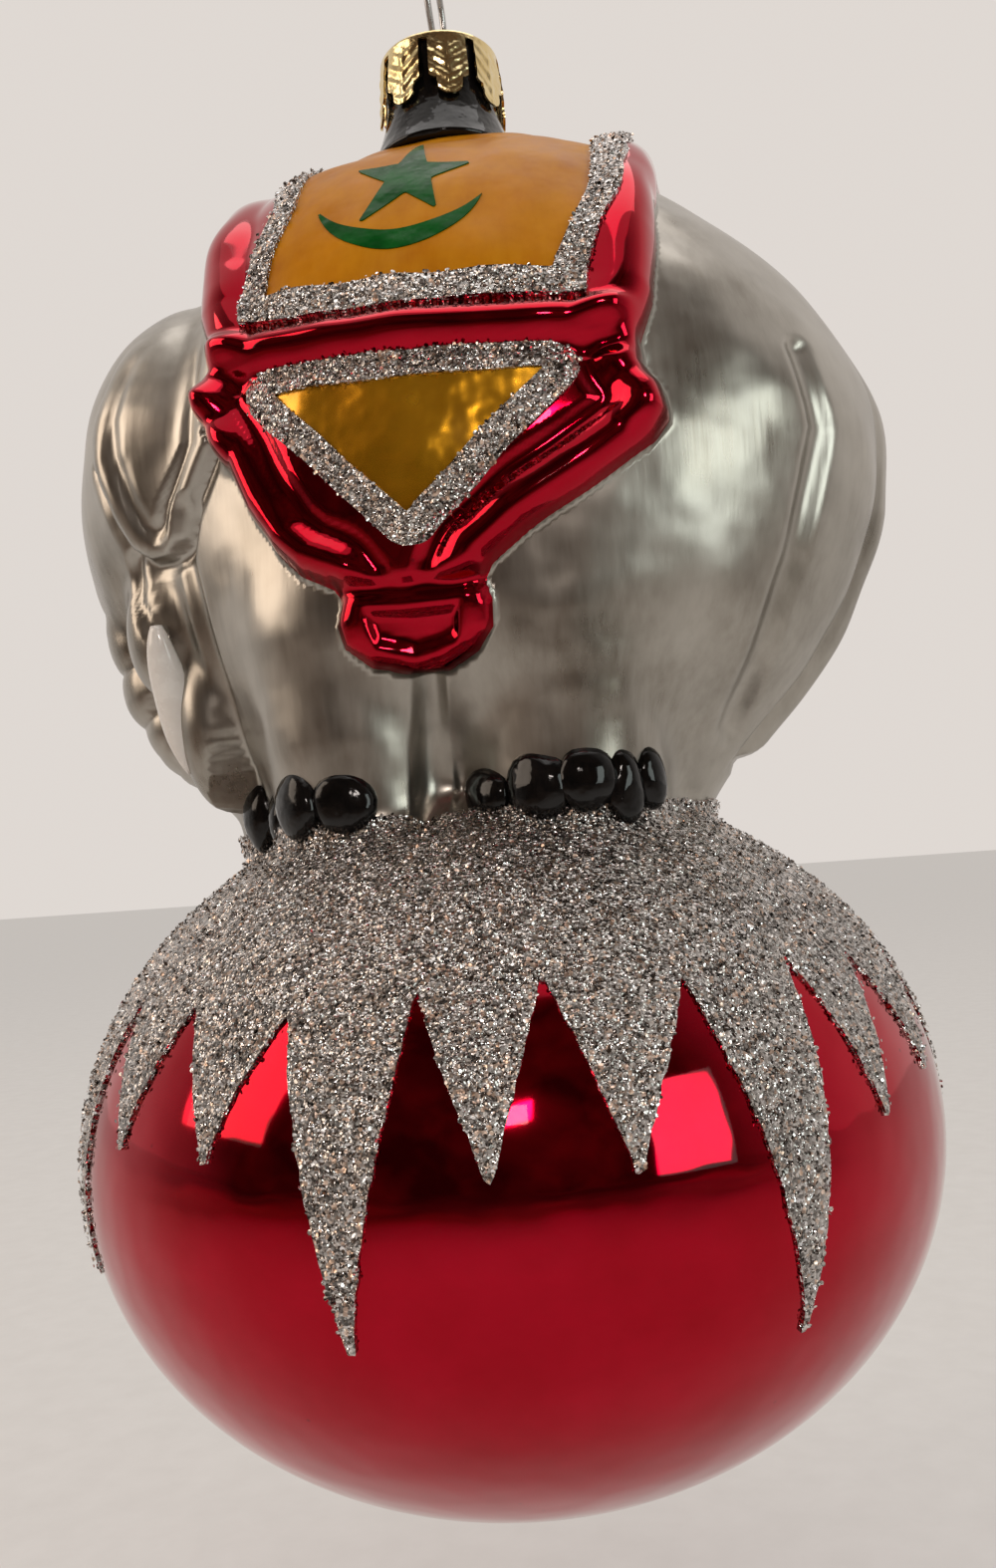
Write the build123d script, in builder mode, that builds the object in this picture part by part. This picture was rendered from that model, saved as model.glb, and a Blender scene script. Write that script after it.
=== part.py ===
"""Blown glass hanging ornament: an elephant in a saddle cloth, standing on a mirror ball.

The ball's glitter coat runs down in icicles. A stamped cap with a spring wire loop closes the neck.
The model is laid out from the centre of the ball: +X towards the rump, -Y the near flank, +Z up.
Each piece is then lowered, so that the origin is the top of the wire loop's eye, where it hangs.
"""

import os
from math import acos, atan2, cos, pi, radians, sin, sqrt

from build123d import *

# --- Ball and waist ---------------------------------------------------------------------------
glass_wall = 0.9
ball_radius = 46.0
ball_half_height = 37.4
waist_root = 29.0
waist_ledge = 6.7
feet = 34.0

# --- Elephant: heights are above the feet -------------------------------------------------------
body_front = 37.5
body_rump = 46.0
body_half_width = 27.3
body_middle_height = 39.0
body_half_height = 36.0
# Rows of height, then shares of the front reach, the rump reach and the half width.
body_rows = [
    (-6.0, 0.62, 0.50, 0.42),
    (0.0, 0.70, 0.55, 0.48),
    (7.0, 0.79, 0.67, 0.63),
    (14.5, 0.88, 0.82, 0.83),
    (23.0, 0.96, 0.93, 0.95),
    (31.0, 1.00, 0.99, 1.00),
    (39.0, 1.00, 1.00, 1.00),
    (47.0, 0.96, 0.95, 0.97),
    (55.0, 0.89, 0.85, 0.89),
    (62.0, 0.79, 0.71, 0.76),
    (68.0, 0.64, 0.54, 0.60),
    (72.5, 0.44, 0.36, 0.42),
    (75.0, 0.23, 0.19, 0.28),
]

head_x = 8.0 - body_front
head_height = 42.0
head_half = (15.5, 18.0, 21.5)
ear_lift = 2.4
# Rows of place from the head's middle and height above the feet, then the trunk's radius.
trunk_rows = [
    (-10.5, 34.0, 6.0),
    (-10.8, 26.0, 5.4),
    (-9.1, 18.0, 4.9),
    (-6.1, 11.5, 4.3),
    (-2.1, 6.5, 3.4),
]
tusk_top = (-2.0, -12.5, 21.0)
tusk_tip = (-0.3, -12.0, 4.5)
tusk_radius = 2.6
tail_width = 5.0
tail_lift = 2.0
tail_top = 52.0
tail_bottom = 9.0

leg_radius = 9.6
leg_inset = 6.3
leg_swell = 1.0
leg_lean = 2.6
leg_height = 20.0
legs_apart = 1.2
nail_radius = 2.3
nail_height = 2.8
nail_step = 34.0
nails_per_foot = 4

# --- Saddle cloth: heights are above the feet ---------------------------------------------------
cloth_lift = 2.6
cloth_half_length = 23.5
cloth_hem = 44.0
flap_half_top = 21.5
flap_corner = 35.5
flap_corner_round = 3.0
flap_half_bottom = 6.2
flap_bottom = 22.5
tassel_half_width = 7.8
tassel_shoulder = 3.0
tassel_taper = 1.0
tassel_bottom = 13.8
tassel_round = 2.0
roll_height = 3.4
roll_middle = 47.0
roll_lift = 1.2
knob_radius = 3.0
knob_drop = 4.2

# --- Painted panels and glitter on the cloth: heights are above the feet ------------------------
paint = 0.3
glitter = 0.7
trim_width = 3.2
panel_half_length = 14.3
panel_hem = 52.8
triangle_half_top = 12.8
triangle_top = 42.0
triangle_tip = 27.9
star_height = 63.6
star_radius = 5.4
star_waist = 0.42
crescent_half = 7.4
crescent_top = 60.2
crescent_sag = 3.6
crescent_depth = 2.0

# --- Icicles of glitter on the ball ------------------------------------------------------------
icicle_groups = 7
icicle_turn = 262.0
icicle_valley = 18.0
icicle_tips = (-10.5, 3.4, 4.8)

# --- Neck, cap and wire hanger: neck heights are above the feet ---------------------------------
neck_radius = 6.35
neck_wall = 1.05
neck_root = 71.5
neck_rim = 89.5
cap_sheet = 0.4
cap_clearance = 0.25
cap_tabs = 8
tab_length = 6.9
tab_slit = 0.8
tab_lobe = 1.6
tab_flare = 3.0
wire = 0.8
hole_radius = 0.8
leg_gap = 1.75
leg_spread = 4.3
leg_drop = 12.0
bend_rise = 0.9
eye_radius = 4.5
eye_rise = 1.4

leg_side = body_half_width - leg_radius - leg_inset
leg_spacing = 2 * leg_radius + legs_apart
waist_half_length = leg_spacing / 2 + leg_radius + waist_ledge
leg_places = {"front": -leg_spacing / 2, "hind": leg_spacing / 2}
rim_level = feet + neck_rim
cap_top = rim_level + cap_sheet
eye_line = eye_radius + wire / 2
eye_middle = cap_top + bend_rise + eye_line + eye_rise
hang_height = eye_middle + eye_radius
reach = 2 * ball_radius


def save(piece, name):
    """Lower a piece so that the hanging point is the origin, name it and write it."""
    lowered = piece.moved(Location((0, 0, -hang_height)))
    lowered.label = name
    export_step(lowered, f"parts/{name}.step")


def far_side(piece):
    """The same piece on the far flank."""
    with BuildPart() as mirrored:
        mirror(piece, about=Plane.XZ)
    return mirrored.part


def body_form(grow):
    """The elephant's closed torso, grown outward by the same amount all round."""
    length_swell = 1 + grow / ((body_front + body_rump) / 2)
    width_swell = 1 + grow / body_half_width
    height_swell = 1 + grow / body_half_height
    with BuildPart() as form:
        for height, front_share, rump_share, width_share in body_rows:
            level = body_middle_height + (height - body_middle_height) * height_swell
            front, rump = body_front * front_share, body_rump * rump_share
            with BuildSketch(Plane.XY.offset(feet + level)):
                with Locations(((rump - front) / 2, 0)):
                    Ellipse(
                        (front + rump) / 2 * length_swell,
                        body_half_width * width_share * width_swell,
                    )
        loft()
    return form.part


def head_form(grow):
    """The head's egg shape, grown outward by the same amount all round."""
    with BuildPart() as form:
        Sphere(1)
        scale(by=tuple(half + grow for half in head_half))
    return form.part.moved(Location((head_x, 0, feet + head_height)))


def relief(outline, inner, outer, both=False):
    """The skin between two nested forms, under an outline that is drawn from the near side."""
    with BuildPart() as piece:
        extrude(outline, amount=reach, both=both)
        add(outer, mode=Mode.INTERSECT)
        add(inner, mode=Mode.SUBTRACT)
    return piece.part


def ball_radius_at(height, lift):
    """Radius of the ball's surface at a height, with the surface lifted outward."""
    return (ball_radius + lift) * sqrt(1 - (height / (ball_half_height + lift)) ** 2)


def ball_form(lift):
    """Solid squashed ball below the waist's root, with its surface lifted outward."""
    with BuildPart() as form:
        with BuildSketch(Plane.XZ):
            Ellipse(ball_radius + lift, ball_half_height + lift)
            with Locations((-reach / 2, 0)):
                Rectangle(reach, reach, mode=Mode.SUBTRACT)
            with Locations((0, waist_root + reach / 2)):
                Rectangle(2 * reach, reach, mode=Mode.SUBTRACT)
        revolve(axis=Axis.Z)
    return form.part


def waist_form(lift):
    """Solid waist, from the ball's surface up to the feet."""
    with BuildPart() as form:
        with BuildSketch(Plane.XY.offset(waist_root)):
            Circle(ball_radius_at(waist_root, lift))
        with BuildSketch(Plane.XY.offset(feet)):
            Ellipse(waist_half_length + lift, leg_side + leg_radius + lift)
        loft()
    return form.part


def trim(piece, *cutters):
    """A piece with other pieces cut out of it."""
    with BuildPart() as trimmed:
        add(piece)
        for cutter in cutters:
            add(cutter, mode=Mode.SUBTRACT)
    return trimmed.part


def ball_shell():
    """Blown ball with its short waist up to the feet, open at the top."""
    with BuildPart() as shell:
        add(trim(ball_form(0), ball_form(-glass_wall)))
        add(trim(waist_form(0), waist_form(-glass_wall)))
    return shell.part


def torso_shell(skin, cavity):
    """Hollow torso, open to the ball below and to the neck above."""
    with BuildPart() as shell:
        add(skin)
        add(cavity, mode=Mode.SUBTRACT)
        with BuildSketch(Plane.XY.offset(feet)):
            Circle(reach)
        extrude(amount=-reach, mode=Mode.SUBTRACT)
        add(neck_bore(), mode=Mode.SUBTRACT)
    return shell.part


def neck_bore():
    """The round space that the neck's tube fills, from its root upward."""
    with BuildPart() as bore:
        with BuildSketch(Plane.XY.offset(feet + neck_root)):
            Circle(neck_radius)
        extrude(amount=reach)
    return bore.part


def leg(x_middle, x_lean, neighbours):
    """One near leg: a rounded column that stands proud of the torso."""
    with BuildPart() as column:
        with BuildSketch(Plane.XY.offset(feet)):
            with Locations((x_middle, -leg_side)):
                Circle(leg_radius)
        with BuildSketch(Plane.XY.offset(feet + leg_height)):
            with Locations((x_middle + x_lean, -leg_side - leg_lean)):
                Circle(leg_radius + leg_swell)
        loft()
    return trim(column.part, *neighbours)


def toenails(x_middle, column, skin):
    """Four rounded nails round the outside of one near foot."""
    with BuildPart() as nails:
        for number in range(nails_per_foot):
            turn = radians(-90 + nail_step * (number - (nails_per_foot - 1) / 2))
            place = (x_middle + leg_radius * cos(turn), -leg_side + leg_radius * sin(turn))
            with BuildSketch(Plane.XY.offset(feet)):
                with Locations(place):
                    Circle(nail_radius)
            extrude(amount=nail_height)
        fillet(nails.edges().group_by(Axis.Z)[-1], nail_radius * 0.6)
        add(column, mode=Mode.SUBTRACT)
        add(skin, mode=Mode.SUBTRACT)
    return nails.part


def trunk(skin, head):
    """Trunk that hangs down the front, thinner towards its tip."""
    with BuildPart() as tube:
        for number, (place, height, radius) in enumerate(trunk_rows):
            before = trunk_rows[max(number - 1, 0)]
            after = trunk_rows[min(number + 1, len(trunk_rows) - 1)]
            heading = (after[0] - before[0], 0, after[1] - before[1])
            middle = (head_x + place, 0, feet + height)
            with BuildSketch(Plane(origin=middle, x_dir=(0, 1, 0), z_dir=heading)):
                Circle(radius)
        loft()
        add(skin, mode=Mode.SUBTRACT)
        add(head, mode=Mode.SUBTRACT)
    return tube.part


def tusk(skin, head):
    """Near tusk: a slim egg laid along the cheek."""
    seat = Vector(head_x, 0, feet)
    top, tip = seat + Vector(*tusk_top), seat + Vector(*tusk_tip)
    with BuildPart() as egg:
        Sphere(1)
        scale(by=(tusk_radius, tusk_radius, (tip - top).length / 2))
    along = Plane(origin=(top + tip) / 2, z_dir=tip - top)
    return trim(egg.part.moved(along.location), skin, head)


def ear_outline():
    """Fan-shaped ear, seen from the side; its points are laid out from the head's middle."""
    with BuildSketch(Plane.XZ.shift_origin((head_x, 0, feet + head_height))) as outline:
        with BuildLine():
            Spline((4.5, 9.0), (-2.0, 5.5), (-6.5, -3.0), (-4.5, -11.5), (-1.0, -15.5))
            Spline((-1.0, -15.5), (1.9, -12.0), (5.0, -5.0), (5.9, 2.0), (4.5, 9.0))
        make_face()
    return outline.sketch


def tail_ridge(skin, lifted):
    """Tail that lies down the middle of the rump."""
    with BuildPart() as ridge:
        with BuildSketch(Plane.YZ):
            with Locations((0, feet + (tail_top + tail_bottom) / 2)):
                SlotOverall(tail_top - tail_bottom, tail_width, rotation=90)
        extrude(amount=reach)
        add(lifted, mode=Mode.INTERSECT)
        add(skin, mode=Mode.SUBTRACT)
    return ridge.part


side_view = Plane.XZ.shift_origin((0, 0, feet))


def saddle_outline():
    """Saddle between its hems, carried on past the top of the back."""
    with BuildSketch(side_view) as outline:
        with Locations((0, cloth_hem + reach / 2)):
            Rectangle(2 * cloth_half_length, reach)
    return outline.sketch


def flap_outline():
    """Side flap: a broad V under the saddle's hem."""
    with BuildSketch(side_view) as outline:
        with BuildLine():
            Polyline(
                (-flap_half_top, cloth_hem),
                (-flap_half_top, flap_corner),
                (-flap_half_bottom, flap_bottom),
                (flap_half_bottom, flap_bottom),
                (flap_half_top, flap_corner),
                (flap_half_top, cloth_hem),
                close=True,
            )
        make_face()
        fillet(outline.vertices().group_by(Axis.Y)[1], flap_corner_round)
    return outline.sketch


def tassel_outline():
    """Tab that hangs from the point of the flap."""
    foot_half_width = tassel_half_width - tassel_taper
    with BuildSketch(side_view) as outline:
        with BuildLine():
            Polyline(
                (-flap_half_bottom, flap_bottom),
                (-tassel_half_width, flap_bottom - tassel_shoulder),
                (-foot_half_width, tassel_bottom),
                (foot_half_width, tassel_bottom),
                (tassel_half_width, flap_bottom - tassel_shoulder),
                (flap_half_bottom, flap_bottom),
                close=True,
            )
        make_face()
        fillet(outline.vertices().group_by(Axis.Y)[0], tassel_round)
    return outline.sketch


def roll_outline():
    """Rolled hem between saddle and flap, with a knob at each end."""
    with BuildSketch(side_view) as outline:
        with Locations((0, roll_middle)):
            SlotOverall(2 * flap_half_top, roll_height)
        with Locations(
            (-flap_half_top, roll_middle - knob_drop),
            (flap_half_top, roll_middle - knob_drop),
            (-flap_half_top + knob_radius / 2, roll_middle - knob_drop / 2),
            (flap_half_top - knob_radius / 2, roll_middle - knob_drop / 2),
        ):
            Circle(knob_radius)
    return outline.sketch


def panel_outline(margin, inner_margin=None):
    """Upper painted panel with a margin added all round, or the frame between two margins."""
    with BuildSketch(side_view) as outline:
        with Locations((0, panel_hem - margin + reach / 2)):
            Rectangle(2 * (panel_half_length + margin), reach)
        if inner_margin is not None:
            with Locations((0, panel_hem - inner_margin + reach / 2)):
                Rectangle(2 * (panel_half_length + inner_margin), reach, mode=Mode.SUBTRACT)
    return outline.sketch


def triangle_outline(margin=0):
    """Painted triangle on the flap, point down, or the frame of that width round it."""
    points = ((-triangle_half_top, triangle_top), (0, triangle_tip), (triangle_half_top, triangle_top))
    with BuildSketch(side_view) as outline:
        Polygon(*points, align=None)
        if margin:
            offset(amount=margin, kind=Kind.ARC)
            Polygon(*points, align=None, mode=Mode.SUBTRACT)
    return outline.sketch


def star_outline():
    """Five-pointed star."""
    points = []
    for number in range(10):
        turn = radians(90 + 36 * number)
        arm = star_radius * (1 if number % 2 == 0 else star_waist)
        points.append((arm * cos(turn), star_height + arm * sin(turn)))
    with BuildSketch(side_view) as outline:
        with BuildLine():
            Polyline(*points, close=True)
        make_face()
    return outline.sketch


def crescent_outline():
    """Upturned crescent under the star."""
    low = crescent_top - crescent_sag
    with BuildSketch(side_view) as outline:
        with BuildLine():
            ThreePointArc((-crescent_half, crescent_top), (0, low), (crescent_half, crescent_top))
            ThreePointArc(
                (crescent_half, crescent_top), (0, low + crescent_depth), (-crescent_half, crescent_top)
            )
        make_face()
    return outline.sketch


def icicle_coat():
    """Glitter over the waist and the ball's top, running down in long and short icicles."""
    total = icicle_groups * len(icicle_tips)
    half_base = ball_radius_at(icicle_valley, 0) * pi / total + glitter
    with BuildPart() as teeth:
        with BuildSketch(Plane.XY.offset(icicle_valley)):
            Circle(reach)
        extrude(amount=reach)
        for number in range(total):
            tip = icicle_tips[number % len(icicle_tips)]
            turn = radians(icicle_turn + 360 / total * number)
            outward = (cos(turn), sin(turn), 0)
            sideways = (-sin(turn), cos(turn), 0)
            with BuildSketch(Plane(origin=(0, 0, 0), x_dir=sideways, z_dir=outward)):
                with BuildLine():
                    Polyline(
                        (-half_base, icicle_valley), (0, tip), (half_base, icicle_valley), close=True
                    )
                make_face()
            extrude(amount=reach)
    with BuildPart() as coat:
        add(trim(ball_form(glitter), ball_form(0)))
        add(teeth.part, mode=Mode.INTERSECT)
        add(trim(waist_form(glitter), waist_form(0)))
    return coat.part


def neck_tube():
    """Glass neck, blown with the torso and open at the top."""
    with BuildPart() as tube:
        with BuildSketch(Plane.XY.offset(feet + neck_root)):
            Circle(neck_radius)
            Circle(neck_radius - neck_wall, mode=Mode.SUBTRACT)
        extrude(amount=neck_rim - neck_root)
    return tube.part


def crown_cap():
    """Stamped eight-tab cap that seats on the neck's rim."""
    apothem = neck_radius + cap_clearance + cap_sheet
    side = 2 * apothem * sin(pi / cap_tabs) / cos(pi / cap_tabs)
    tab_width = side - tab_slit
    leg_slope = (leg_spread - leg_gap) / (leg_drop + bend_rise)
    hole_place = leg_gap + (bend_rise + cap_sheet / 2) * leg_slope
    with BuildPart() as cap:
        with BuildSketch(Plane.XY.offset(rim_level)):
            RegularPolygon(apothem, cap_tabs, major_radius=False, rotation=180 / cap_tabs)
        extrude(amount=cap_sheet)
        with BuildSketch(Plane.XY.offset(rim_level)):
            with Locations((0, -hole_place), (0, hole_place)):
                Circle(hole_radius)
        extrude(amount=cap_sheet, mode=Mode.SUBTRACT)
        for number in range(cap_tabs):
            turn = 360 / cap_tabs * number
            outward = Vector(1, 0, 0).rotate(Axis.Z, turn)
            sideways = Vector(0, 1, 0).rotate(Axis.Z, turn)
            hinge = outward * (apothem - cap_sheet) + Vector(0, 0, cap_top)
            flared = outward.rotate(Axis((0, 0, 0), sideways), -tab_flare)
            with BuildSketch(Plane(origin=hinge, x_dir=sideways, z_dir=flared)):
                with Locations((0, -tab_length / 2)):
                    Rectangle(tab_width, tab_length)
                with Locations((0, -tab_length)):
                    Circle(tab_lobe)
            extrude(amount=cap_sheet)
    return cap.part


def wire_hanger():
    """Spring wire: an eye above the cap, and two legs that spread inside the neck."""
    rise = eye_middle - (cap_top + bend_rise)
    reach_line = sqrt(rise**2 + leg_gap**2)
    swing = acos(eye_line / reach_line)
    lean = atan2(-rise, leg_gap)
    touch = lean + swing
    tangent = (eye_line * cos(touch), eye_middle + eye_line * sin(touch))
    with BuildPart() as hanger:
        with BuildLine(Plane.YZ) as path:
            near_leg = FilletPolyline(
                (-leg_spread, cap_top - leg_drop),
                (-leg_gap, cap_top + bend_rise),
                (-tangent[0], tangent[1]),
                radius=1.0,
            )
            ThreePointArc((-tangent[0], tangent[1]), (0, eye_middle + eye_line), tangent)
            FilletPolyline(
                tangent, (leg_gap, cap_top + bend_rise), (leg_spread, cap_top - leg_drop), radius=1.0
            )
        with BuildSketch(Plane(origin=near_leg @ 0, z_dir=near_leg % 0)):
            Circle(wire / 2)
        sweep(path=path.line)
    return hanger.part


os.makedirs("parts", exist_ok=True)

skin = body_form(0)
cavity = body_form(-glass_wall)
cloth_face = body_form(cloth_lift)
paint_face = body_form(cloth_lift + paint)
motif_face = body_form(cloth_lift + 2 * paint)
trim_face = body_form(cloth_lift + glitter)
roll_face = body_form(cloth_lift + roll_lift)
head_skin = head_form(0)
head_lifted = head_form(ear_lift)


saddle = trim(relief(saddle_outline(), skin, cloth_face, both=True), neck_bore())
flap = relief(flap_outline(), skin, cloth_face)
tassel = relief(tassel_outline(), skin, cloth_face)
panel = relief(panel_outline(0), cloth_face, paint_face, both=True)
frame = relief(panel_outline(trim_width, 0), cloth_face, trim_face, both=True)
head = trim(head_skin, head_form(-glass_wall), skin, saddle, flap, far_side(flap))
ear = trim(relief(ear_outline(), head_skin, head_lifted), skin, saddle, flap)

near_pieces = {
    "flap": flap,
    "flap_tassel": tassel,
    "hem_roll": relief(roll_outline(), cloth_face, roll_face),
    "flap_panel": relief(triangle_outline(), cloth_face, paint_face),
    "flap_glitter": relief(triangle_outline(trim_width), cloth_face, trim_face),
    "star": relief(star_outline(), paint_face, motif_face),
    "crescent": relief(crescent_outline(), paint_face, motif_face),
    "ear": ear,
    "tusk": tusk(skin, head_skin),
}
for place, lean in (("front", -leg_lean / 2), ("hind", leg_lean)):
    column = leg(leg_places[place], lean, (skin, flap, tassel))
    near_pieces[f"{place}_leg"] = column
    near_pieces[f"{place}_toenails"] = toenails(leg_places[place], column, skin)

save(ball_shell(), "glass_ball")
save(icicle_coat(), "icicle_glitter")
save(torso_shell(skin, cavity), "torso")
save(neck_tube(), "neck")
save(head, "head")
save(trunk(skin, head_skin), "trunk")
save(tail_ridge(skin, body_form(tail_lift)), "tail")
save(saddle, "saddle_cloth")
save(trim(panel, neck_bore()), "saddle_panel")
save(trim(frame, neck_bore()), "saddle_glitter")
for name, piece in near_pieces.items():
    save(piece, f"{name}_near")
    save(far_side(piece), f"{name}_far")
save(crown_cap(), "cap")
save(wire_hanger(), "wire_hanger")
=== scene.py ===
"""Looks of the blown glass elephant ornament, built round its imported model.

The glass is made as the real one is: one shell is blown over the whole figure, its moulded relief is
raised, and the shell is then cut where its colours and features meet. Lengths are in millimetres from
the centre of the ball until a piece is made, and in metres in the model's own frame after that.
"""

from math import atan2, cos, pi, radians, sin, tan

import bpy
import numpy as np
from mathutils import Matrix, Vector


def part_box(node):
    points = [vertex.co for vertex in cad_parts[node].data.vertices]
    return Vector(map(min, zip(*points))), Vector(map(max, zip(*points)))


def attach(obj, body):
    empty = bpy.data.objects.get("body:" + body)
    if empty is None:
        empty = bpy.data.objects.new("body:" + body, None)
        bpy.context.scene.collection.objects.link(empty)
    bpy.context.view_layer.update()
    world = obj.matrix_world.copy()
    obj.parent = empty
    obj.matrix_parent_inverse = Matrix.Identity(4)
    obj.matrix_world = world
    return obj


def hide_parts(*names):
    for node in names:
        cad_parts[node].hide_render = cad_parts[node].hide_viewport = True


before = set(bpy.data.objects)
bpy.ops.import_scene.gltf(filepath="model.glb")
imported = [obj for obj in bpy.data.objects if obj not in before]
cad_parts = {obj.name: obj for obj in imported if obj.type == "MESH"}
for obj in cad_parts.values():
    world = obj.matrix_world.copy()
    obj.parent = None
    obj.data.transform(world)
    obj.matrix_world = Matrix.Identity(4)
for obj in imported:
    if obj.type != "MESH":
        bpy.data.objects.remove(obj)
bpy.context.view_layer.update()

MM = 0.001
RED, PEWTER = "red_mirror_lacquer", "pewter_lacquer"
GLITTER, LOOSE = "silver_glitter", "silver_glitter_flakes"
BLACK, WHITE, GREEN = "black_gloss", "white_enamel", "green_enamel"
GOLD, AMBER, BRASS, STEEL = "gold_enamel", "amber_lacquer", "gold_cap", "steel_wire"

# Ball and frame: the ball's size is read from the model, and its half height is as the ball was blown.
# The red glass ends at the ball's top, under the glitter that runs on up to the feet.
ball_low, ball_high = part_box("glass_ball")
BALL_RADIUS = (ball_high.x - ball_low.x) / 2 / MM
BALL_HALF_HEIGHT = 37.4
BALL_TOP = 38.0
HANG = -(ball_low.z / MM + BALL_HALF_HEIGHT)
FEET = ball_high.z / MM + HANG

# Walls: glass of the figure and of the ball, and the coats of paint and glitter laid on them.
SHELL_WALL, BALL_WALL, PAINT_WALL, FROST_WALL, BORDER_WALL = 0.5, 0.9, 0.3, 0.3, 0.6
PANEL_RAISE, SIGN_RAISE, FROST_RAISE, BORDER_RAISE = 0.1, 0.22, 0.3, 0.4
FLAKE_SIZE, FLAKES_ON_BALL, FLAKES_ON_BORDER = 0.42, 3.2, 4.5

# Elephant's torso: height above the feet, then front, rump and half width.
TORSO_ROWS = (
    (-12.0, 28.0, 22.0, 11.0),
    (0.0, 29.4, 25.0, 13.0),
    (7.0, 31.0, 30.5, 17.2),
    (14.5, 33.0, 37.5, 22.5),
    (23.0, 36.0, 42.5, 26.0),
    (31.0, 37.5, 45.2, 27.3),
    (39.0, 37.5, 45.8, 27.3),
    (47.0, 36.0, 43.4, 26.4),
    (55.0, 33.4, 38.6, 24.3),
    (62.0, 29.6, 32.0, 20.8),
    (68.0, 24.0, 24.5, 15.6),
    (72.5, 16.5, 16.5, 8.6),
    (75.5, 8.0, 8.0, 4.0),
    (76.5, 1.0, 1.0, 1.0),
)
# Head, cheek and brow: centre and half sizes.
HEAD = ((-29.5, 0.0, 76.0), (15.8, 18.0, 21.5))
CHEEK = ((-33.0, 8.0, 58.5), (6.0, 6.5, 9.0))
BROW = ((-39.5, 0.0, 70.0), (6.6, 9.0, 13.0))
# Trunk: x, height above the ball's centre and radius, from its root to its tip.
TRUNK = ((-39.4, 68.0, 6.4), (-39.6, 60.0, 5.7), (-38.0, 52.5, 5.3), (-35.0, 46.4, 4.7), (-31.6, 42.4, 3.8))
TRUNK_FOLDS, FOLD_HEIGHT = 5, 0.75
# Chest under the head: centre and half sizes of its middle, and of the swelling beside each tusk.
CHEST = ((-25.5, 0.0, 47.0), (10.2, 11.5, 11.5))
CHEST_SWELLING = ((-28.6, 7.5, 49.5), (5.0, 6.0, 12.5))
# Tusk, seen from the side: root and point, and its radius.
TUSK, TUSK_RADIUS = ((-33.0, 57.4), (-31.8, 41.3)), 2.15
# Creases in the side view, behind the ear, beside the trunk, between the legs and on the haunch:
# points, half width and depth.
CREASES = (
    (((-26.8, 68.5), (-28.2, 63.0), (-27.0, 56.1), (-25.4, 48.5), (-24.6, 41.0), (-24.4, 36.0)), 1.5, 0.9),
    (((-35.7, 65.0), (-35.4, 60.5), (-33.5, 57.0)), 1.2, 0.8),
    (((-1.2, 48.5), (-2.2, 42.0), (-3.0, 33.5)), 1.9, 1.1),
    (((37.0, 78.0), (38.4, 69.5), (37.3, 64.5), (35.2, 57.0), (31.1, 47.8), (27.5, 41.0)), 1.5, 0.9),
)
# Legs: radius at the foot, distance to each side of the middle, lean and height of the hip, and then
# where along the figure they stand.
LEG_RADIUS, LEG_SIDE, LEG_LEAN, LEG_TOP = 9.8, 11.2, 2.8, 54.0
LEGS = {"front": -10.3, "hind": 10.3}
# Toenails: their middle's height over the feet, half depth and half height, which vary a little, and
# for each foot the place along it and half width of each nail.
NAIL_HEIGHT, NAIL_DEPTH, NAIL_TALL = 1.9, 1.6, 3.5
NAILS = {
    "front": ((-24.8, 2.6), (-21.0, 3.0), (-16.2, 3.2), (-10.8, 3.3)),
    "hind": ((3.0, 3.3), (8.6, 3.3), (13.4, 2.9), (16.8, 2.2), (19.2, 2.0)),
}

# Widths of the soft valleys where one blown form runs into the next.
VALLEY = {
    "brow": 4.0, "cheek": 1.5, "swelling": 2.0, "between_legs": 0.8, "hips": 4.0,
    "chest": 1.2, "head": 1.6, "trunk": 0.9, "ball": 3.0,
}

# Saddle cloth, seen from the side: down its rump edge, round the tab and up its front edge.
CLOTH_EDGE = (
    (24.0, 140.0), (24.2, 99.0), (24.0, 92.0), (23.4, 85.0), (21.7, 79.8), (22.0, 77.6), (23.6, 75.0),
    (24.0, 71.6), (22.6, 69.2), (19.0, 66.6), (15.0, 63.8), (10.2, 60.6), (6.7, 57.8), (5.7, 56.2),
    (6.2, 54.2), (6.0, 51.8), (4.4, 49.7), (1.0, 48.3), (-2.6, 48.0), (-6.6, 48.9), (-8.9, 50.9),
    (-9.3, 53.2), (-8.6, 55.4), (-9.4, 56.6), (-12.4, 58.2), (-15.0, 60.8), (-17.6, 65.2), (-19.4, 69.4),
    (-21.2, 72.6), (-22.9, 75.4), (-23.2, 78.2), (-22.0, 80.8), (-22.0, 83.0), (-23.2, 86.0),
    (-23.8, 92.0), (-23.8, 99.0), (-23.6, 140.0),
)
CLOTH_LIFT, CLOTH_EDGE_WIDTH = 2.5, 2.4
HEM_ROLL, HEM_CUT = 81.4, 1.6
# Rolls and grooves of the cloth: height, then middle and half width, in from the edge or up from the roll.
EDGE_ROLL, FLAP_ROLL, FLAP_GROOVE = (1.3, 3.6, 3.4), (1.0, 2.5, 2.2), (-0.55, 5.6, 1.3)
HEM_RIDGE, HEM_GROOVE, TAB_GROOVE = (1.2, 0.0, 2.3), (-0.45, -3.1, 1.3), (-0.8, 0.0, 1.2)
HEM_END, TAB_MIDDLE, TAB_HALF, TAB_DEPTH = 21.5, -1.4, 8.0, 0.8
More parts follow.
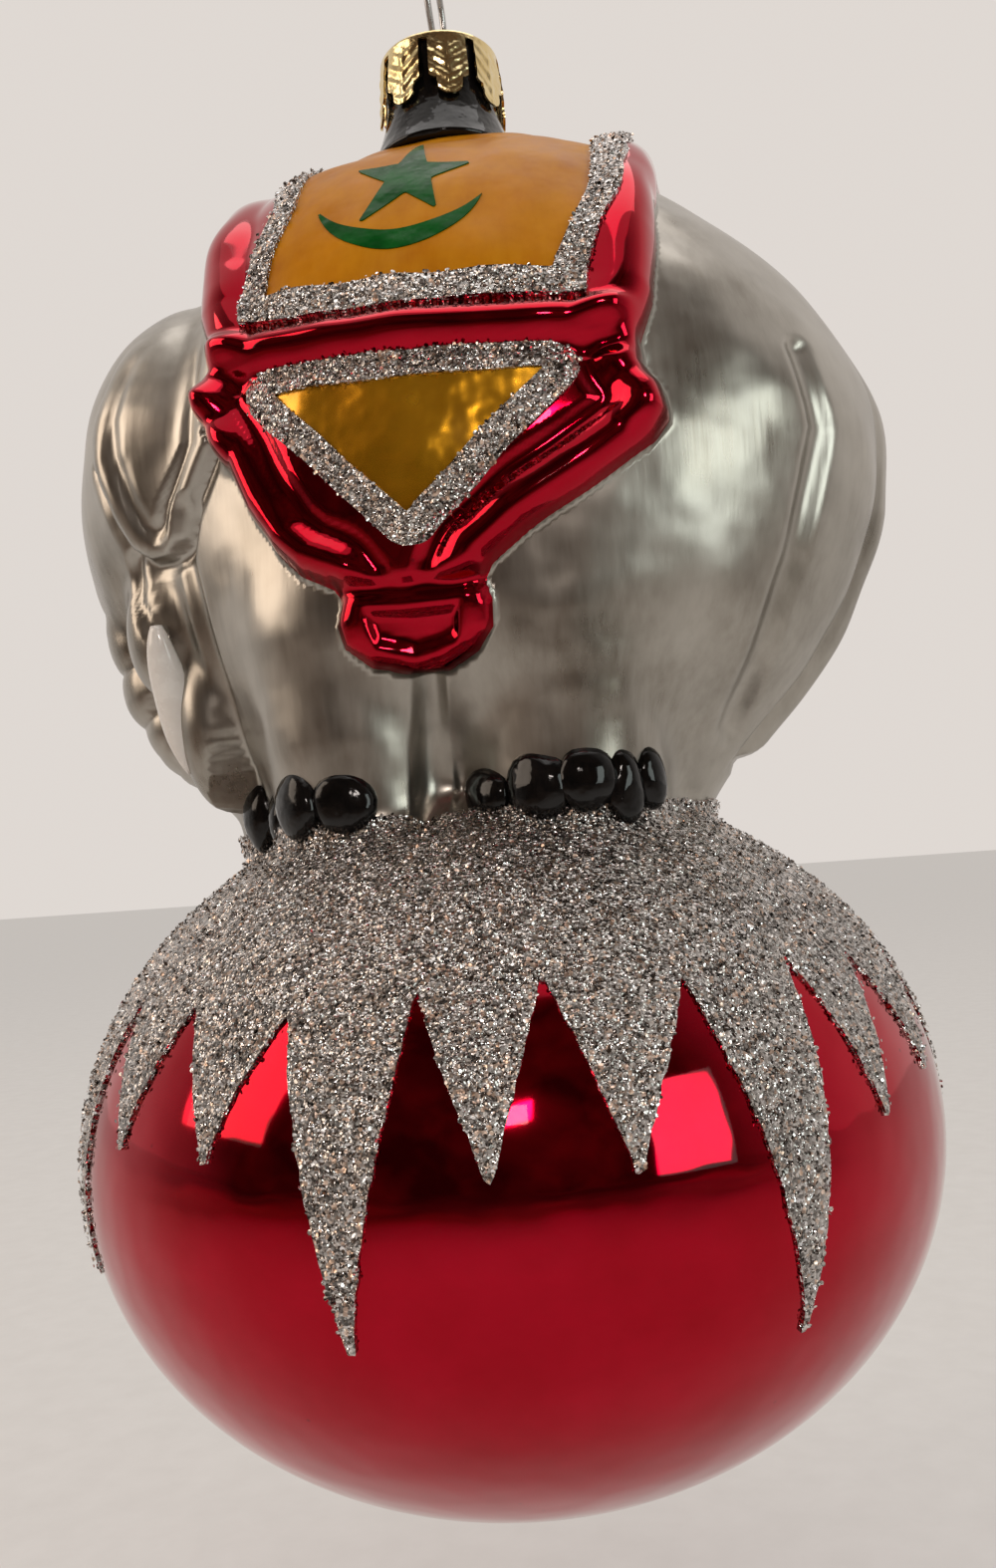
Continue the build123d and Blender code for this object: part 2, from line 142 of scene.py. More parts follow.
# Knobs where the rolls meet: place along and up the side view, size and height.
KNOBS = ((-20.6, 77.4, 3.2, 1.5), (20.6, 79.0, 2.2, 0.4), (-19.8, 72.4, 2.8, 0.8), (21.2, 72.6, 3.4, 1.1))
FLAP_TOP, TAB_TOP = 78.0, 56.4
TAB_HOLLOW = ((-6.6, 54.6), (3.6, 54.6), (3.2, 51.2), (-1.6, 50.2), (-6.0, 51.0))
# Painted panel, triangle and the glitter trim round both.
PANEL_HALF, PANEL_HEM, TRIM = 13.9, 86.8, 2.9
PANEL_LEAN_FRONT, PANEL_LEAN_RUMP = -0.2, 0.32
TRIANGLE = ((-12.9, 76.2), (-0.4, 63.0), (12.9, 76.2))
# The cloth hangs a little lower on the rump side, from its front edge on.
CLOTH_SLOPE, CLOTH_PIVOT, CLOTH_FOOT = 0.1, -20.0, 50.0
# Star and crescent of the panel: where they lie, and their sizes.
STAR_AT, STAR_RADIUS, STAR_WAIST, STAR_TURN = (0.3, 98.9), 5.6, 0.40, -0.06
STAR_REACH = (1.0, 1.06, 1.22, 0.96, 1.04)
CRESCENT_AT, CRESCENT_HALF, CRESCENT_SAG, CRESCENT_DEPTH = (-0.7, 95.9), 8.3, 6.0, 2.2

# Ear, seen from the side, and the heights between which its edge sinks into the head.
EAR = (
    (-22.3, 74.0), (-24.4, 71.0), (-26.6, 68.0), (-27.7, 65.4), (-30.2, 64.0), (-32.4, 64.2), (-34.7, 65.8),
    (-36.4, 69.2), (-38.2, 75.0), (-38.4, 80.0), (-36.5, 87.0), (-33.0, 93.0), (-21.5, 96.0),
)
EAR_FADE = (76.0, 90.0)
EAR_LIFT, EAR_RIM, EAR_HOLLOW, EAR_SHADOW = 1.3, (-0.7, 3.1, 1.1), 0.4, (-0.5, -0.6, 1.1)
# Tail: its foot and top, half width at its foot, how much it widens, height, and the groove beside it.
TAIL_FOOT, TAIL_TOP, TAIL_HALF, TAIL_SPREAD = 38.0, 92.0, 2.6, 2.4
TAIL_LIFT, TAIL_GROOVE, TAIL_FADE = 1.15, (-0.5, 0.2, 1.1), (64.0, 90.0)

# Icicles: three tip heights over and over, how far each one stands from its even place, in degrees,
# how much higher its tip ends than the three say, and the height of the valleys between.
ICICLE_TIPS = (-10.5, 3.0, 4.6)
ICICLE_GROUPS = 7
ICICLE_START = 262.0
ICICLE_WANDER = (
    0.0, -1.6, -4.0, -1.8, -4.5, -7.0, 2.0, 1.5, -2.0, 0.0, 2.0,
    -1.5, 0.5, 2.5, 0.0, -1.0, 1.5, -2.0, 1.5, 1.0, 0.4,
)
ICICLE_HIGHER = (
    1.3, 0.9, -0.8, -1.0, 1.2, 1.8, 0.0, 1.0, -1.5, 1.2, -1.0,
    0.6, -1.2, 1.5, 0.0, -0.8, 1.0, -1.4, 1.8, 2.4, 0.8,
)
ICICLE_VALLEY = 19.0

# Neck and cap.
NECK_RADIUS, NECK_FOOT, NECK_LENGTH, NECK_FLARE, NECK_WALL = 6.35, 110.8, 12.6, 2.4, 1.05
CAP_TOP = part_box("cap")[1].z / MM + HANG
CAP_SHEET, CAP_GAP, CAP_BEND, CAP_SKIRT, CAP_TURN = 0.4, 0.25, 0.5, 9.4, 71.0
CAP_TABS, TAB_LENGTH, TAB_SLIT, TAB_FLARE, TAB_CURL = 8, 6.9, 1.1, 3.0, 0.3
LOBE_HALF, LOBE_ROUND, SHOULDER_HEIGHT = 1.4, 1.3, 2.0
CHEVRON_STEP, CHEVRON_DEPTH, CHEVRON_SLOPE, SPINE_HEIGHT = 1.7, 0.05, 0.75, 0.08

# Fineness of the blown shell: points round it, height of a row, degrees between rows that fan out.
COLUMNS = 520
ROW_STEP = 0.5
FAN_STEP = 1.25 * ROW_STEP
SPINE_TOP, LONGEST_RAY = 70.0, 62.0
random = np.random.default_rng(7)


# --- Shapes as numbers: each form gives how far a point lies outside it ------------------
def egg(points, centre, half):
    """Distance to an ellipsoid, exact at its surface."""
    offset = (points - np.array(centre)) / np.array(half)
    share = np.linalg.norm(offset, axis=1) + 1e-9
    slope = np.linalg.norm(offset / np.array(half), axis=1) + 1e-9
    return share * (share - 1) / slope


def blend(a, b, width):
    """Union of two forms, with a soft valley of this width."""
    share = np.clip(0.5 + 0.5 * (b - a) / width, 0, 1)
    return b * (1 - share) + a * share - width * share * (1 - share)


def curve_through(heights, values, at):
    """Smooth curve through the rows of a table."""
    heights, values = np.asarray(heights), np.asarray(values)
    slopes = np.gradient(values, heights)
    row = np.clip(np.searchsorted(heights, at) - 1, 0, len(heights) - 2)
    span = heights[row + 1] - heights[row]
    t = np.clip((at - heights[row]) / span, 0, 1)
    start = (1 + 2 * t) * (1 - t) ** 2 * values[row] + t * (1 - t) ** 2 * span * slopes[row]
    return start + t**2 * (3 - 2 * t) * values[row + 1] + t**2 * (t - 1) * span * slopes[row + 1]


def torso_form(points):
    """Distance to the torso, measured level with the point."""
    height = points[:, 2] - FEET
    rows = np.array(TORSO_ROWS).T
    front, rump, half_width = (curve_through(rows[0], values, height) for values in rows[1:])
    reach_x = points[:, 0] - (rump - front) / 2
    reach_y = points[:, 1]
    share = np.sqrt((reach_x / ((front + rump) / 2)) ** 2 + (reach_y / half_width) ** 2) + 1e-9
    out = np.hypot(reach_x, reach_y) * (1 - 1 / share)
    return np.maximum(out, np.maximum(height - rows[0][-1], rows[0][0] - height))


def trunk_form(points):
    """Distance to the trunk, which is ringed with soft folds."""
    best = np.full(len(points), 1e3)
    for number, (low, high) in enumerate(zip(TRUNK[1:], TRUNK[:-1])):
        start, end = np.array([high[0], 0, high[1]]), np.array([low[0], 0, low[1]])
        run = end - start
        t = np.clip((points - start) @ run / (run @ run), 0, 1)
        away = np.linalg.norm(points - start - t[:, None] * run, axis=1)
        along = (number + t) / (len(TRUNK) - 1)
        fold = FOLD_HEIGHT * (np.abs(np.sin(pi * TRUNK_FOLDS * along)) ** 0.6 - 0.6)
        best = np.minimum(best, away - (high[2] + t * (low[2] - high[2])) - fold)
    return best


def leg_form(points, middle):
    """Distance to the leg on the point's own side."""
    lean = LEG_LEAN * np.sign(middle) * 0.5
    foot = np.array([middle, LEG_SIDE, FEET - 4])
    hip = np.array([middle + lean, LEG_SIDE + LEG_LEAN, LEG_TOP])
    run = hip - foot
    t = np.clip((points - foot) @ run / (run @ run), 0, 1)
    return np.linalg.norm(points - foot - t[:, None] * run, axis=1) - LEG_RADIUS - t


def figure(points):
    """Distance to each part of the figure, with both flanks alike."""
    one_side = points * (1, 0, 1) + np.abs(points) * (0, 1, 0)
    head = blend(egg(one_side, *HEAD), egg(one_side, *BROW), VALLEY["brow"])
    head = blend(head, egg(one_side, *CHEEK), VALLEY["cheek"])
    chest = blend(egg(one_side, *CHEST), egg(one_side, *CHEST_SWELLING), VALLEY["swelling"])
    return {
        "torso": torso_form(one_side),
        "head": head,
        "chest": chest,
        "trunk": trunk_form(one_side),
        "front": leg_form(one_side, LEGS["front"]),
        "hind": leg_form(one_side, LEGS["hind"]),
        "ball": egg(one_side, (0, 0, 0), (BALL_RADIUS, BALL_RADIUS, BALL_HALF_HEIGHT)),
    }


def whole(points):
    """Distance to the whole blown figure."""
    part = figure(points)
    legs = blend(part["front"], part["hind"], VALLEY["between_legs"])
    body = blend(part["torso"], legs, VALLEY["hips"])
    for name in ("chest", "head", "trunk", "ball"):
        body = blend(body, part[name], VALLEY[name])
    return body


def outline_distance(x, z, points):
    """Signed distance to a closed outline, positive inside."""
    corners = np.array(points)
    best, inside = np.full(len(x), 1e9), np.zeros(len(x), bool)
    for (ax, az), (bx, bz) in zip(corners, np.roll(corners, -1, axis=0)):
        run_x, run_z = bx - ax, bz - az
        t = np.clip(((x - ax) * run_x + (z - az) * run_z) / (run_x**2 + run_z**2), 0, 1)
        best = np.minimum(best, np.hypot(x - ax - t * run_x, z - az - t * run_z))
        crosses = (az > z) != (bz > z)
        with np.errstate(divide="ignore", invalid="ignore"):
            inside ^= crosses & (x < run_x * (z - az) / run_z + ax)
    return np.where(inside, best, -best)


def line_distance(x, z, points):
    """Distance to an open line in the side view."""
    best = np.full(len(x), 1e9)
    for (ax, az), (bx, bz) in zip(points[:-1], points[1:]):
        run_x, run_z = bx - ax, bz - az
        t = np.clip(((x - ax) * run_x + (z - az) * run_z) / (run_x**2 + run_z**2), 0, 1)
        best = np.minimum(best, np.hypot(x - ax - t * run_x, z - az - t * run_z))
    return best


def bump(value):
    """Round bump of height 1 at 0, flat beyond 1."""
    return np.clip(1 - value**2, 0, 1) ** 1.5


def ridge(value, shape):
    """Roll or groove of this height, with its middle and half width."""
    height, middle, half = shape
    return height * bump((value - middle) / half)


def fade(value, start, end):
    """0 at start, 1 at end, straight between."""
    return np.clip((value - start) / (end - start), 0, 1)


def rise(value):
    """Quarter-round step from 0 to 1."""
    return np.sqrt(1 - (1 - np.clip(value, 0, 1)) ** 2)


def wander(x, y, z, size, seed):
    """Gentle unevenness of a hand-made thing, about -1 to 1."""
    own = np.random.default_rng(seed)
    total = 0
    for _ in range(6):
        tilt = own.normal(size=3)
        tilt *= 2 * pi / size / np.linalg.norm(tilt) * own.uniform(0.6, 1.5)
        total = total + np.sin(x * tilt[0] + y * tilt[1] + z * tilt[2] + own.uniform(0, 2 * pi))
    return total / 3.0


# --- The blown shell ---------------------------------------------------------------------
def grid_quads(rows, columns, closed=False):
    """Four-cornered faces of a grid that is closed round its columns, and along its rows if asked."""
    at = np.arange(rows * columns).reshape(rows, columns)
    low = at if closed else at[:-1]
    high = np.roll(at, -1, axis=0) if closed else at[1:]
    corners = [low, np.roll(low, -1, axis=1), np.roll(high, -1, axis=1), high]
    return np.stack(corners, -1).reshape(-1, 4)


def grid_faces(rows, columns):
    """Triangles of a grid that is closed round its columns."""
    quads = grid_quads(rows, columns)
    return np.concatenate([quads[:, [0, 1, 2]], quads[:, [0, 2, 3]]])


def blow_shell():
    """Grid of points where rays from the figure's spine meet its skin, and the grid's triangles.

    The rays fan out below the spine's foot, lie level along it and fan out again above its top.
    """
    lower = [(0.0, radians(a)) for a in np.arange(-89.4, 0, FAN_STEP)]
    flank = [(z, 0.0) for z in np.arange(0, SPINE_TOP, ROW_STEP)]
    upper = [(SPINE_TOP, radians(a)) for a in np.arange(0, 82.6, FAN_STEP)]
    stations = np.array(lower + flank + upper)
    turn = np.linspace(0, 2 * pi, COLUMNS, endpoint=False)
    level, lift = stations[:, 0][:, None], stations[:, 1][:, None]
    way = np.stack([np.cos(lift) * np.cos(turn), np.cos(lift) * np.sin(turn), np.sin(lift) + 0 * turn], -1)
    way = way.reshape(-1, 3)
    start = np.stack([0 * level + 0 * turn, 0 * level + 0 * turn, level + 0 * turn], -1).reshape(-1, 3)
    near, far = np.zeros(len(way)), np.full(len(way), LONGEST_RAY)
    for _ in range(26):
        step = (near + far) / 2
        inside = whole(start + way * step[:, None]) < 0
        near, far = np.where(inside, step, near), np.where(inside, far, step)
    skin = start + way * near[:, None]
    return skin, grid_faces(len(stations), COLUMNS)


def unit(vectors):
    """The vectors, each made 1 long."""
    return vectors / (np.linalg.norm(vectors, axis=1)[:, None] + 1e-12)


def normals_of(points, faces):
    """Smooth normals at the points."""
    a, b, c = (points[faces[:, k]] for k in range(3))
    face_normal = np.cross(b - a, c - a)
    total = np.zeros((len(points), 3))
    for axis in range(3):
        total[:, axis] = sum(np.bincount(faces[:, k], face_normal[:, axis], len(points)) for k in range(3))
    return unit(total)


def skin_normals(points):
    """Normals of the figure's skin from its own distance."""
    step = 0.05
    slope = [whole(points + step * axis) - whole(points - step * axis) for axis in np.eye(3)]
    return unit(np.stack(slope, -1))


def star_outline():
    """Corners of the painted star, whose arms are a little uneven."""
    corners = []
    for number in range(10):
        reach = STAR_RADIUS * (STAR_REACH[number // 2] if number % 2 == 0 else STAR_WAIST)
        turn = pi / 2 + pi / 5 * number + STAR_TURN
        corners.append((STAR_AT[0] + reach * cos(turn), STAR_AT[1] + reach * sin(turn)))
    return corners


def inside_arc(x, z, sag):
    """Distance inside the circle that sags this far below the crescent's two ends."""
    radius = (CRESCENT_HALF**2 + sag**2) / (2 * sag)
    return radius - np.hypot(x - CRESCENT_AT[0], z - (CRESCENT_AT[1] - sag + radius))


def side_view_fields(skin):
    """Outlines of everything moulded or painted, as signed distances over the skin."""
    x, y, z = skin.T
    flutter = 0.22 * wander(x, y, z, 7.0, 3)
    part = figure(skin)
    body = np.minimum(np.minimum(part["torso"], part["chest"]), np.minimum(part["front"], part["hind"]))
    tail_half = TAIL_HALF + TAIL_SPREAD * np.clip((z - TAIL_FOOT) / 50, 0, 1)
    tail = np.minimum(np.minimum(tail_half - np.abs(y), x - 22), np.minimum(TAIL_TOP - z, z - TAIL_FOOT))
    level = cloth_level(x, z)
    lean = np.where(x > 0, PANEL_LEAN_RUMP, PANEL_LEAN_FRONT) * np.clip(level - PANEL_HEM, 0, 11)
    panel = np.minimum(PANEL_HALF + lean - np.abs(x), level - PANEL_HEM) + flutter
    triangle = outline_distance(x, level, TRIANGLE)
    return {
        "level": level,
        "cloth": outline_distance(x, level, CLOTH_EDGE) + 0.5 * flutter,
        "ear": outline_distance(x, z, EAR),
        "panel": panel,
        "frame": panel + TRIM + 0.5 * flutter,
        "triangle": triangle + 0.6 * flutter,
        "triangle_frame": triangle + TRIM + 0.4 * flutter,
        "star": outline_distance(x, level, star_outline()) + 0.15,
        "crescent": np.minimum(
            inside_arc(x, level, CRESCENT_SAG), -inside_arc(x, level, CRESCENT_SAG - CRESCENT_DEPTH)
        ),
        "near": -y,
        "head": np.minimum(body, part["trunk"]) - part["head"],
        "trunk": np.minimum(body, part["head"]) - part["trunk"],
        "front": np.minimum(part["torso"], part["hind"]) - part["front"],
        "hind": np.minimum(part["torso"], part["front"]) - part["hind"],
        "tail": tail,
        "feet": z - FEET - 0.3 - flutter,
        "icicles": icicle_field(x, y, z),
    }


def cloth_level(x, z):
    """Height measured along the sloping cloth."""
    return z + CLOTH_SLOPE * (x - CLOTH_PIVOT) * np.clip((z - CLOTH_FOOT) / 36, 0, 1)


def icicle_field(x, y, z):
    """Positive where glitter lies on the ball."""
    total = ICICLE_GROUPS * len(ICICLE_TIPS)
    azimuth = np.degrees(np.arctan2(y, x))
    radius = np.hypot(x, y)
    valley = ICICLE_VALLEY - 1.2 * wander(x, y, 0 * z, 22.0, 11)
    field = z - valley - 2.5
    middles = [ICICLE_START + 360 / total * number + ICICLE_WANDER[number] for number in range(total)]
    for number, middle in enumerate(middles):
        before = (middle - middles[number - 1]) % 360 / 2
        after = (middles[(number + 1) % total] - middle) % 360 / 2
        tip = ICICLE_TIPS[number % len(ICICLE_TIPS)] + ICICLE_HIGHER[number]
        away = (azimuth - middle + 180) % 360 - 180
        share = np.clip((z - tip) / (valley - tip), 0, 1.3)
        half = np.where(away < 0, before, after) * (0.05 + 0.95 * share**1.18)
        field = np.maximum(field, np.minimum((half - np.abs(away)) * radius * pi / 180, z - tip))
    return field + 0.12 * wander(x, y, z, 2.2, 5)


def cloth_relief(x, z, cloth):
    """Height of the cloth with its rolls, grooves, knobs and tab."""
    height = CLOTH_LIFT * rise(cloth / CLOTH_EDGE_WIDTH)
    above = np.clip((z - HEM_ROLL + 1) / 2, 0, 1)
    on_flap = np.clip((HEM_ROLL - 2 - z) / 2, 0, 1) * np.clip((z - TAB_TOP) / 2, 0, 1)
    height += ridge(cloth, EDGE_ROLL) * above
    height += (ridge(cloth, FLAP_ROLL) + ridge(cloth, FLAP_GROOVE)) * on_flap
    across = np.clip((HEM_END - np.abs(x)) / 2.5, 0, 1)
    height += (ridge(z - HEM_ROLL, HEM_RIDGE) + ridge(z - HEM_ROLL, HEM_GROOVE) * (cloth > 0)) * across
    for knob_x, knob_z, size, lift in KNOBS:
        height += lift * bump(np.hypot(x - knob_x, z - knob_z) / size)
    height -= TAB_DEPTH * np.clip(outline_distance(x, z, TAB_HOLLOW), 0, 1)
    return height + ridge(z - TAB_TOP, TAB_GROOVE) * (np.abs(x - TAB_MIDDLE) < TAB_HALF) * (cloth > 0)


def raise_relief(skin, field):
    """How far each point of the skin is raised: cloth, ear, creases, tail and unevenness."""
    x, y, z = skin.T
    cloth = field["cloth"]
    bare, covered = cloth < 0, cloth > 0
    height = cloth_relief(x, field["level"], cloth)
    ear = field["ear"] * bare
    lobe = EAR_LIFT * rise(ear / 1.2) + ridge(ear, EAR_RIM) - EAR_HOLLOW * np.clip((ear - 1.2) / 5, 0, 1)
    height += lobe * fade(z, EAR_FADE[1], EAR_FADE[0])
    height += ridge(ear, EAR_SHADOW) * (z < EAR_FADE[0]) * bare
    for line, width, depth in CREASES:
        height -= depth * bump(line_distance(x, z, line) / width) * bare
    tail = field["tail"]
    soft = np.clip(tail / 3.0, 0, 1)
    root = fade(z, TAIL_FADE[1], TAIL_FADE[0]) ** 1.5 * (x > 20)
    height += (TAIL_LIFT * soft**2 * (3 - 2 * soft) + ridge(tail, TAIL_GROOVE)) * root
    dents = 0.25 * wander(x, y, z, 26.0, 21) + 0.10 * wander(x, y, z, 9.0, 22)
    height += dents * np.clip((z - FEET - 2) / 6, 0, 1) * np.clip(1 - cloth, 0, 1)
    return height + 0.12 * wander(x, y, z, 8.0, 23) * covered


class Sheet:
    """Triangles over named values at their corners: place, normal and every outline's distance."""

    def __init__(self, values, faces, names):
        self.values, self.faces, self.names = values, faces, names

    def column(self, name):
        return self.values[:, self.names[name]]

    @property
    def place(self):
        return self.values[:, 0:3]

    @property
    def normal(self):
        return unit(self.values[:, 3:6])

    def where(self, field):
        """The part of the sheet where a field is positive, cut along its edge."""
        f = self.column(field) if isinstance(field, str) else field
        f = np.where(np.abs(f) < 1e-4, 1e-4, f)
        inside = f > 0
        count = inside[self.faces].sum(1)
        whole_faces = self.faces[count == 3]
        one, two = self.faces[count == 1], self.faces[count == 2]
        one = turned(one, inside[one])
        two = turned(two, ~inside[two])
        cuts = np.concatenate([one[:, [0, 1]], one[:, [0, 2]], two[:, [0, 1]], two[:, [0, 2]]])
        ordered = np.sort(cuts, axis=1)
        pairs, index = np.unique(ordered, axis=0, return_inverse=True)
        index = index.reshape(-1)
        a, b = (pairs[:, 0], pairs[:, 1]) if len(pairs) else (np.zeros(0, int), np.zeros(0, int))
        share = (f[a] / (f[a] - f[b]))[:, None]
        fresh = self.values[a] * (1 - share) + self.values[b] * share
        start = len(self.values)
        n1, n2 = len(one), len(two)
        e1, e2 = start + index[:n1], start + index[n1 : 2 * n1]
        e3, e4 = start + index[2 * n1 : 2 * n1 + n2], start + index[2 * n1 + n2 :]
        faces = np.concatenate(
            [
                whole_faces,
                np.stack([one[:, 0], e1, e2], -1),
                np.stack([e3, two[:, 1], two[:, 2]], -1),
                np.stack([e3, two[:, 2], e4], -1),
            ]
        )
        values = np.concatenate([self.values, fresh])
        used, faces = np.unique(faces, return_inverse=True)
        return Sheet(values[used], faces.reshape(-1, 3), self.names)


def turned(faces, mark):
    """Faces turned so that their one marked corner comes first."""
    first = mark.argmax(1)
    order = (first[:, None] + np.arange(3)) % 3
    return np.take_along_axis(faces, order, axis=1)


def glass_sheet():
    """The whole moulded shell as one sheet."""
    skin, faces = blow_shell()
    normal = skin_normals(skin)
    field = side_view_fields(skin)
    raised = skin + normal * raise_relief(skin, field)[:, None]
    shading = normals_of(raised, faces)
    on_ball = (np.clip((FEET - 6 - skin[:, 2]) / 2, 0, 1))[:, None]
    shading = shading * (1 - on_ball) + normal * on_ball
    names = {name: 6 + number for number, name in enumerate(field)}
    values = np.concatenate([raised, shading, np.stack(list(field.values()), -1)], 1)
    return Sheet(values, faces, names)


# --- Making Blender pieces ---------------------------------------------------------------
def to_frame(points):
    """Millimetres from the ball's centre to metres in the model's frame."""
    return (np.asarray(points, float) - (0, 0, HANG)) * MM


def new_piece(name, points, faces, finish, node=None, body="glass", corner_normals=None):
    """A mesh piece of the ornament, riding on a body and standing for the model's node."""
    mesh = bpy.data.meshes.new(name)
    mesh.from_pydata(to_frame(points).tolist(), [], faces if isinstance(faces, list) else faces.tolist())
    mesh.validate()
    mesh.shade_smooth()
    if corner_normals is not None and len(corner_normals) == len(mesh.loops):
        mesh.normals_split_custom_set(corner_normals.tolist())
    mesh.materials.append(FINISH[finish])
    piece = bpy.data.objects.new(name, mesh)
    bpy.context.scene.collection.objects.link(piece)
    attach(piece, body)
    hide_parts(node or name)
    return piece


def glass_piece(name, sheet, finish, wall=SHELL_WALL, lift=0.0, body="glass"):
    """A cut of the sheet as a closed wall: outer face, inner face and rim."""
    outer = sheet.place + sheet.normal * lift
    normal, faces = sheet.normal, sheet.faces
    count = len(outer)
    inner = outer - normal * wall
    edges = np.concatenate([faces[:, [0, 1]], faces[:, [1, 2]], faces[:, [2, 0]]])
    key = edges[:, 0] * count + edges[:, 1]
    back = edges[:, 1] * count + edges[:, 0]
    rim = edges[~np.isin(key, back)]
    a, b = rim[:, 0], rim[:, 1]
    walls = np.concatenate([np.stack([b, a, a + count], -1), np.stack([b, a + count, b + count], -1)])
    points = np.concatenate([outer, inner])
    all_faces = np.concatenate([faces, faces[:, ::-1] + count, walls])
    pa, pb, pc = (points[walls[:, k]] for k in range(3))
    wall_normal = unit(np.cross(pb - pa, pc - pa))
    face_normals = [normal[faces].reshape(-1, 3), -normal[faces[:, ::-1]].reshape(-1, 3)]
    corner = np.concatenate([*face_normals, np.repeat(wall_normal, 3, axis=0)])
    return new_piece(name, points, all_faces, finish, body=body, corner_normals=corner)


def flakes(name, sheet, per_mm2, node, lift):
    """Loose hexagonal glitter flakes, scattered and tilted over a sheet."""
    a, b, c = (sheet.place[sheet.faces[:, k]] for k in range(3))
    area = np.linalg.norm(np.cross(b - a, c - a), axis=1) / 2
    number = int(area.sum() * per_mm2 * (1))
    pick = np.searchsorted(np.cumsum(area) / area.sum(), random.uniform(size=number))
    pick = np.clip(pick, 0, len(area) - 1)
    u, v = random.uniform(size=(2, number))
    flip = u + v > 1
    u, v = np.where(flip, 1 - u, u), np.where(flip, 1 - v, v)
    spot = a[pick] + (b - a)[pick] * u[:, None] + (c - a)[pick] * v[:, None]
    up = sheet.normal[sheet.faces[pick, 0]]
    up = up + random.normal(scale=0.42, size=up.shape)
    up /= np.linalg.norm(up, axis=1)[:, None]
    spot = spot + sheet.normal[sheet.faces[pick, 0]] * random.uniform(lift, lift + 0.35, number)[:, None]
    side = np.cross(up, random.normal(size=up.shape))
    side /= np.linalg.norm(side, axis=1)[:, None]
    other = np.cross(up, side)
    half = FLAKE_SIZE / 2 * random.uniform(0.65, 1.2, number)[:, None]
    corners = [spot + half * (cos(k * pi / 3) * side + sin(k * pi / 3) * other) for k in range(6)]
    points = np.stack(corners, 1).reshape(-1, 3)
    faces = np.arange(number * 6).reshape(-1, 6)
    new_piece(name, points, faces, LOOSE, node).data.shade_flat()


# --- Finishes: effects shared between materials ------------------------------------------
class Nodes:
    """Short way to add and join nodes in one tree."""

    def __init__(self, tree):
        self.tree = tree

    def add(self, kind, **settings):
        node = self.tree.nodes.new(kind)
        for name, value in settings.items():
            setattr(node, name, value)
        return node

    def join(self, source, target):
        self.tree.links.new(source, target)

    def feed(self, socket, value):
        """Gives a socket a link or a plain value."""
        if isinstance(value, bpy.types.NodeSocket):
            self.join(value, socket)
        else:
            socket.default_value = value

    def math(self, operation, a, b=0.0, clamp=False):
        node = self.add("ShaderNodeMath", operation=operation, use_clamp=clamp)
        self.feed(node.inputs[0], a)
        self.feed(node.inputs[1], b)
        return node.outputs[0]

    def noise(self, vector, scale, detail=3.0, rough=0.5):
        node = self.add("ShaderNodeTexNoise")
        self.feed(node.inputs["Vector"], vector)
        self.feed(node.inputs["Scale"], scale)
        self.feed(node.inputs["Detail"], detail)
        self.feed(node.inputs["Roughness"], rough)
        return node.outputs["Fac"]

    def range(self, value, low, high, to_low=0.0, to_high=1.0):
        node = self.add("ShaderNodeMapRange")
        for socket, given in zip(node.inputs[:5], (value, low, high, to_low, to_high)):
            self.feed(socket, given)
        return node.outputs[0]

    def mix(self, share, a, b):
        node = self.add("ShaderNodeMix", data_type="RGBA")
        self.feed(node.inputs[0], share)
        self.feed(node.inputs[6], a)
        self.feed(node.inputs[7], b)
        return node.outputs[2]


def group(name, inputs, outputs):
    """An empty shader node group with named sockets."""
    tree = bpy.data.node_groups.new(name, "ShaderNodeTree")
    for socket, default in inputs:
        made = tree.interface.new_socket(name=socket, in_out="INPUT", socket_type="NodeSocketFloat")
        made.default_value = default
    for socket, kind in outputs:
        tree.interface.new_socket(name=socket, in_out="OUTPUT", socket_type=kind)
    nodes = Nodes(tree)
    return tree, nodes, nodes.add("NodeGroupInput").outputs, nodes.add("NodeGroupOutput").inputs


def make_blown_unevenness():
    """Slow waves and cloudy patches of glass blown in a mould."""
    tree, n, given, out = group(
        "blown_unevenness",
        [("Wave Scale", 90.0), ("Patch Scale", 60.0)],
        [("Height", "NodeSocketFloat"), ("Patches", "NodeSocketFloat")],
    )
    place = n.add("ShaderNodeTexCoord").outputs["Object"]
    n.join(n.noise(place, given["Wave Scale"], 2.0, 0.45), out["Height"])
    patches = n.noise(place, given["Patch Scale"], 4.0, 0.55)
    n.join(n.range(patches, 0.32, 0.68), out["Patches"])
    return tree


def make_brushed_streaks():
    """Fine upright streaks that a lacquer leaves as it runs and is brushed out."""
    tree, n, given, out = group(
        "brushed_streaks",
        [("Scale", 1400.0), ("Stretch", 0.07)],
        [("Streaks", "NodeSocketFloat"), ("Height", "NodeSocketFloat")],
    )
    place = n.add("ShaderNodeTexCoord").outputs["Object"]
    split = n.add("ShaderNodeSeparateXYZ")
    n.join(place, split.inputs[0])
    joined = n.add("ShaderNodeCombineXYZ")
    n.join(split.outputs[0], joined.inputs[0])
    n.join(split.outputs[1], joined.inputs[1])
    n.join(n.math("MULTIPLY", split.outputs[2], given["Stretch"]), joined.inputs[2])
    fine = n.noise(joined.outputs[0], given["Scale"], 3.0, 0.6)
    broad = n.noise(joined.outputs[0], n.math("MULTIPLY", given["Scale"], 0.22), 2.0, 0.5)
    both = n.math("ADD", n.math("MULTIPLY", fine, 0.45), n.math("MULTIPLY", broad, 0.55))
    n.join(n.range(both, 0.35, 0.65), out["Streaks"])
    n.join(both, out["Height"])
    return tree


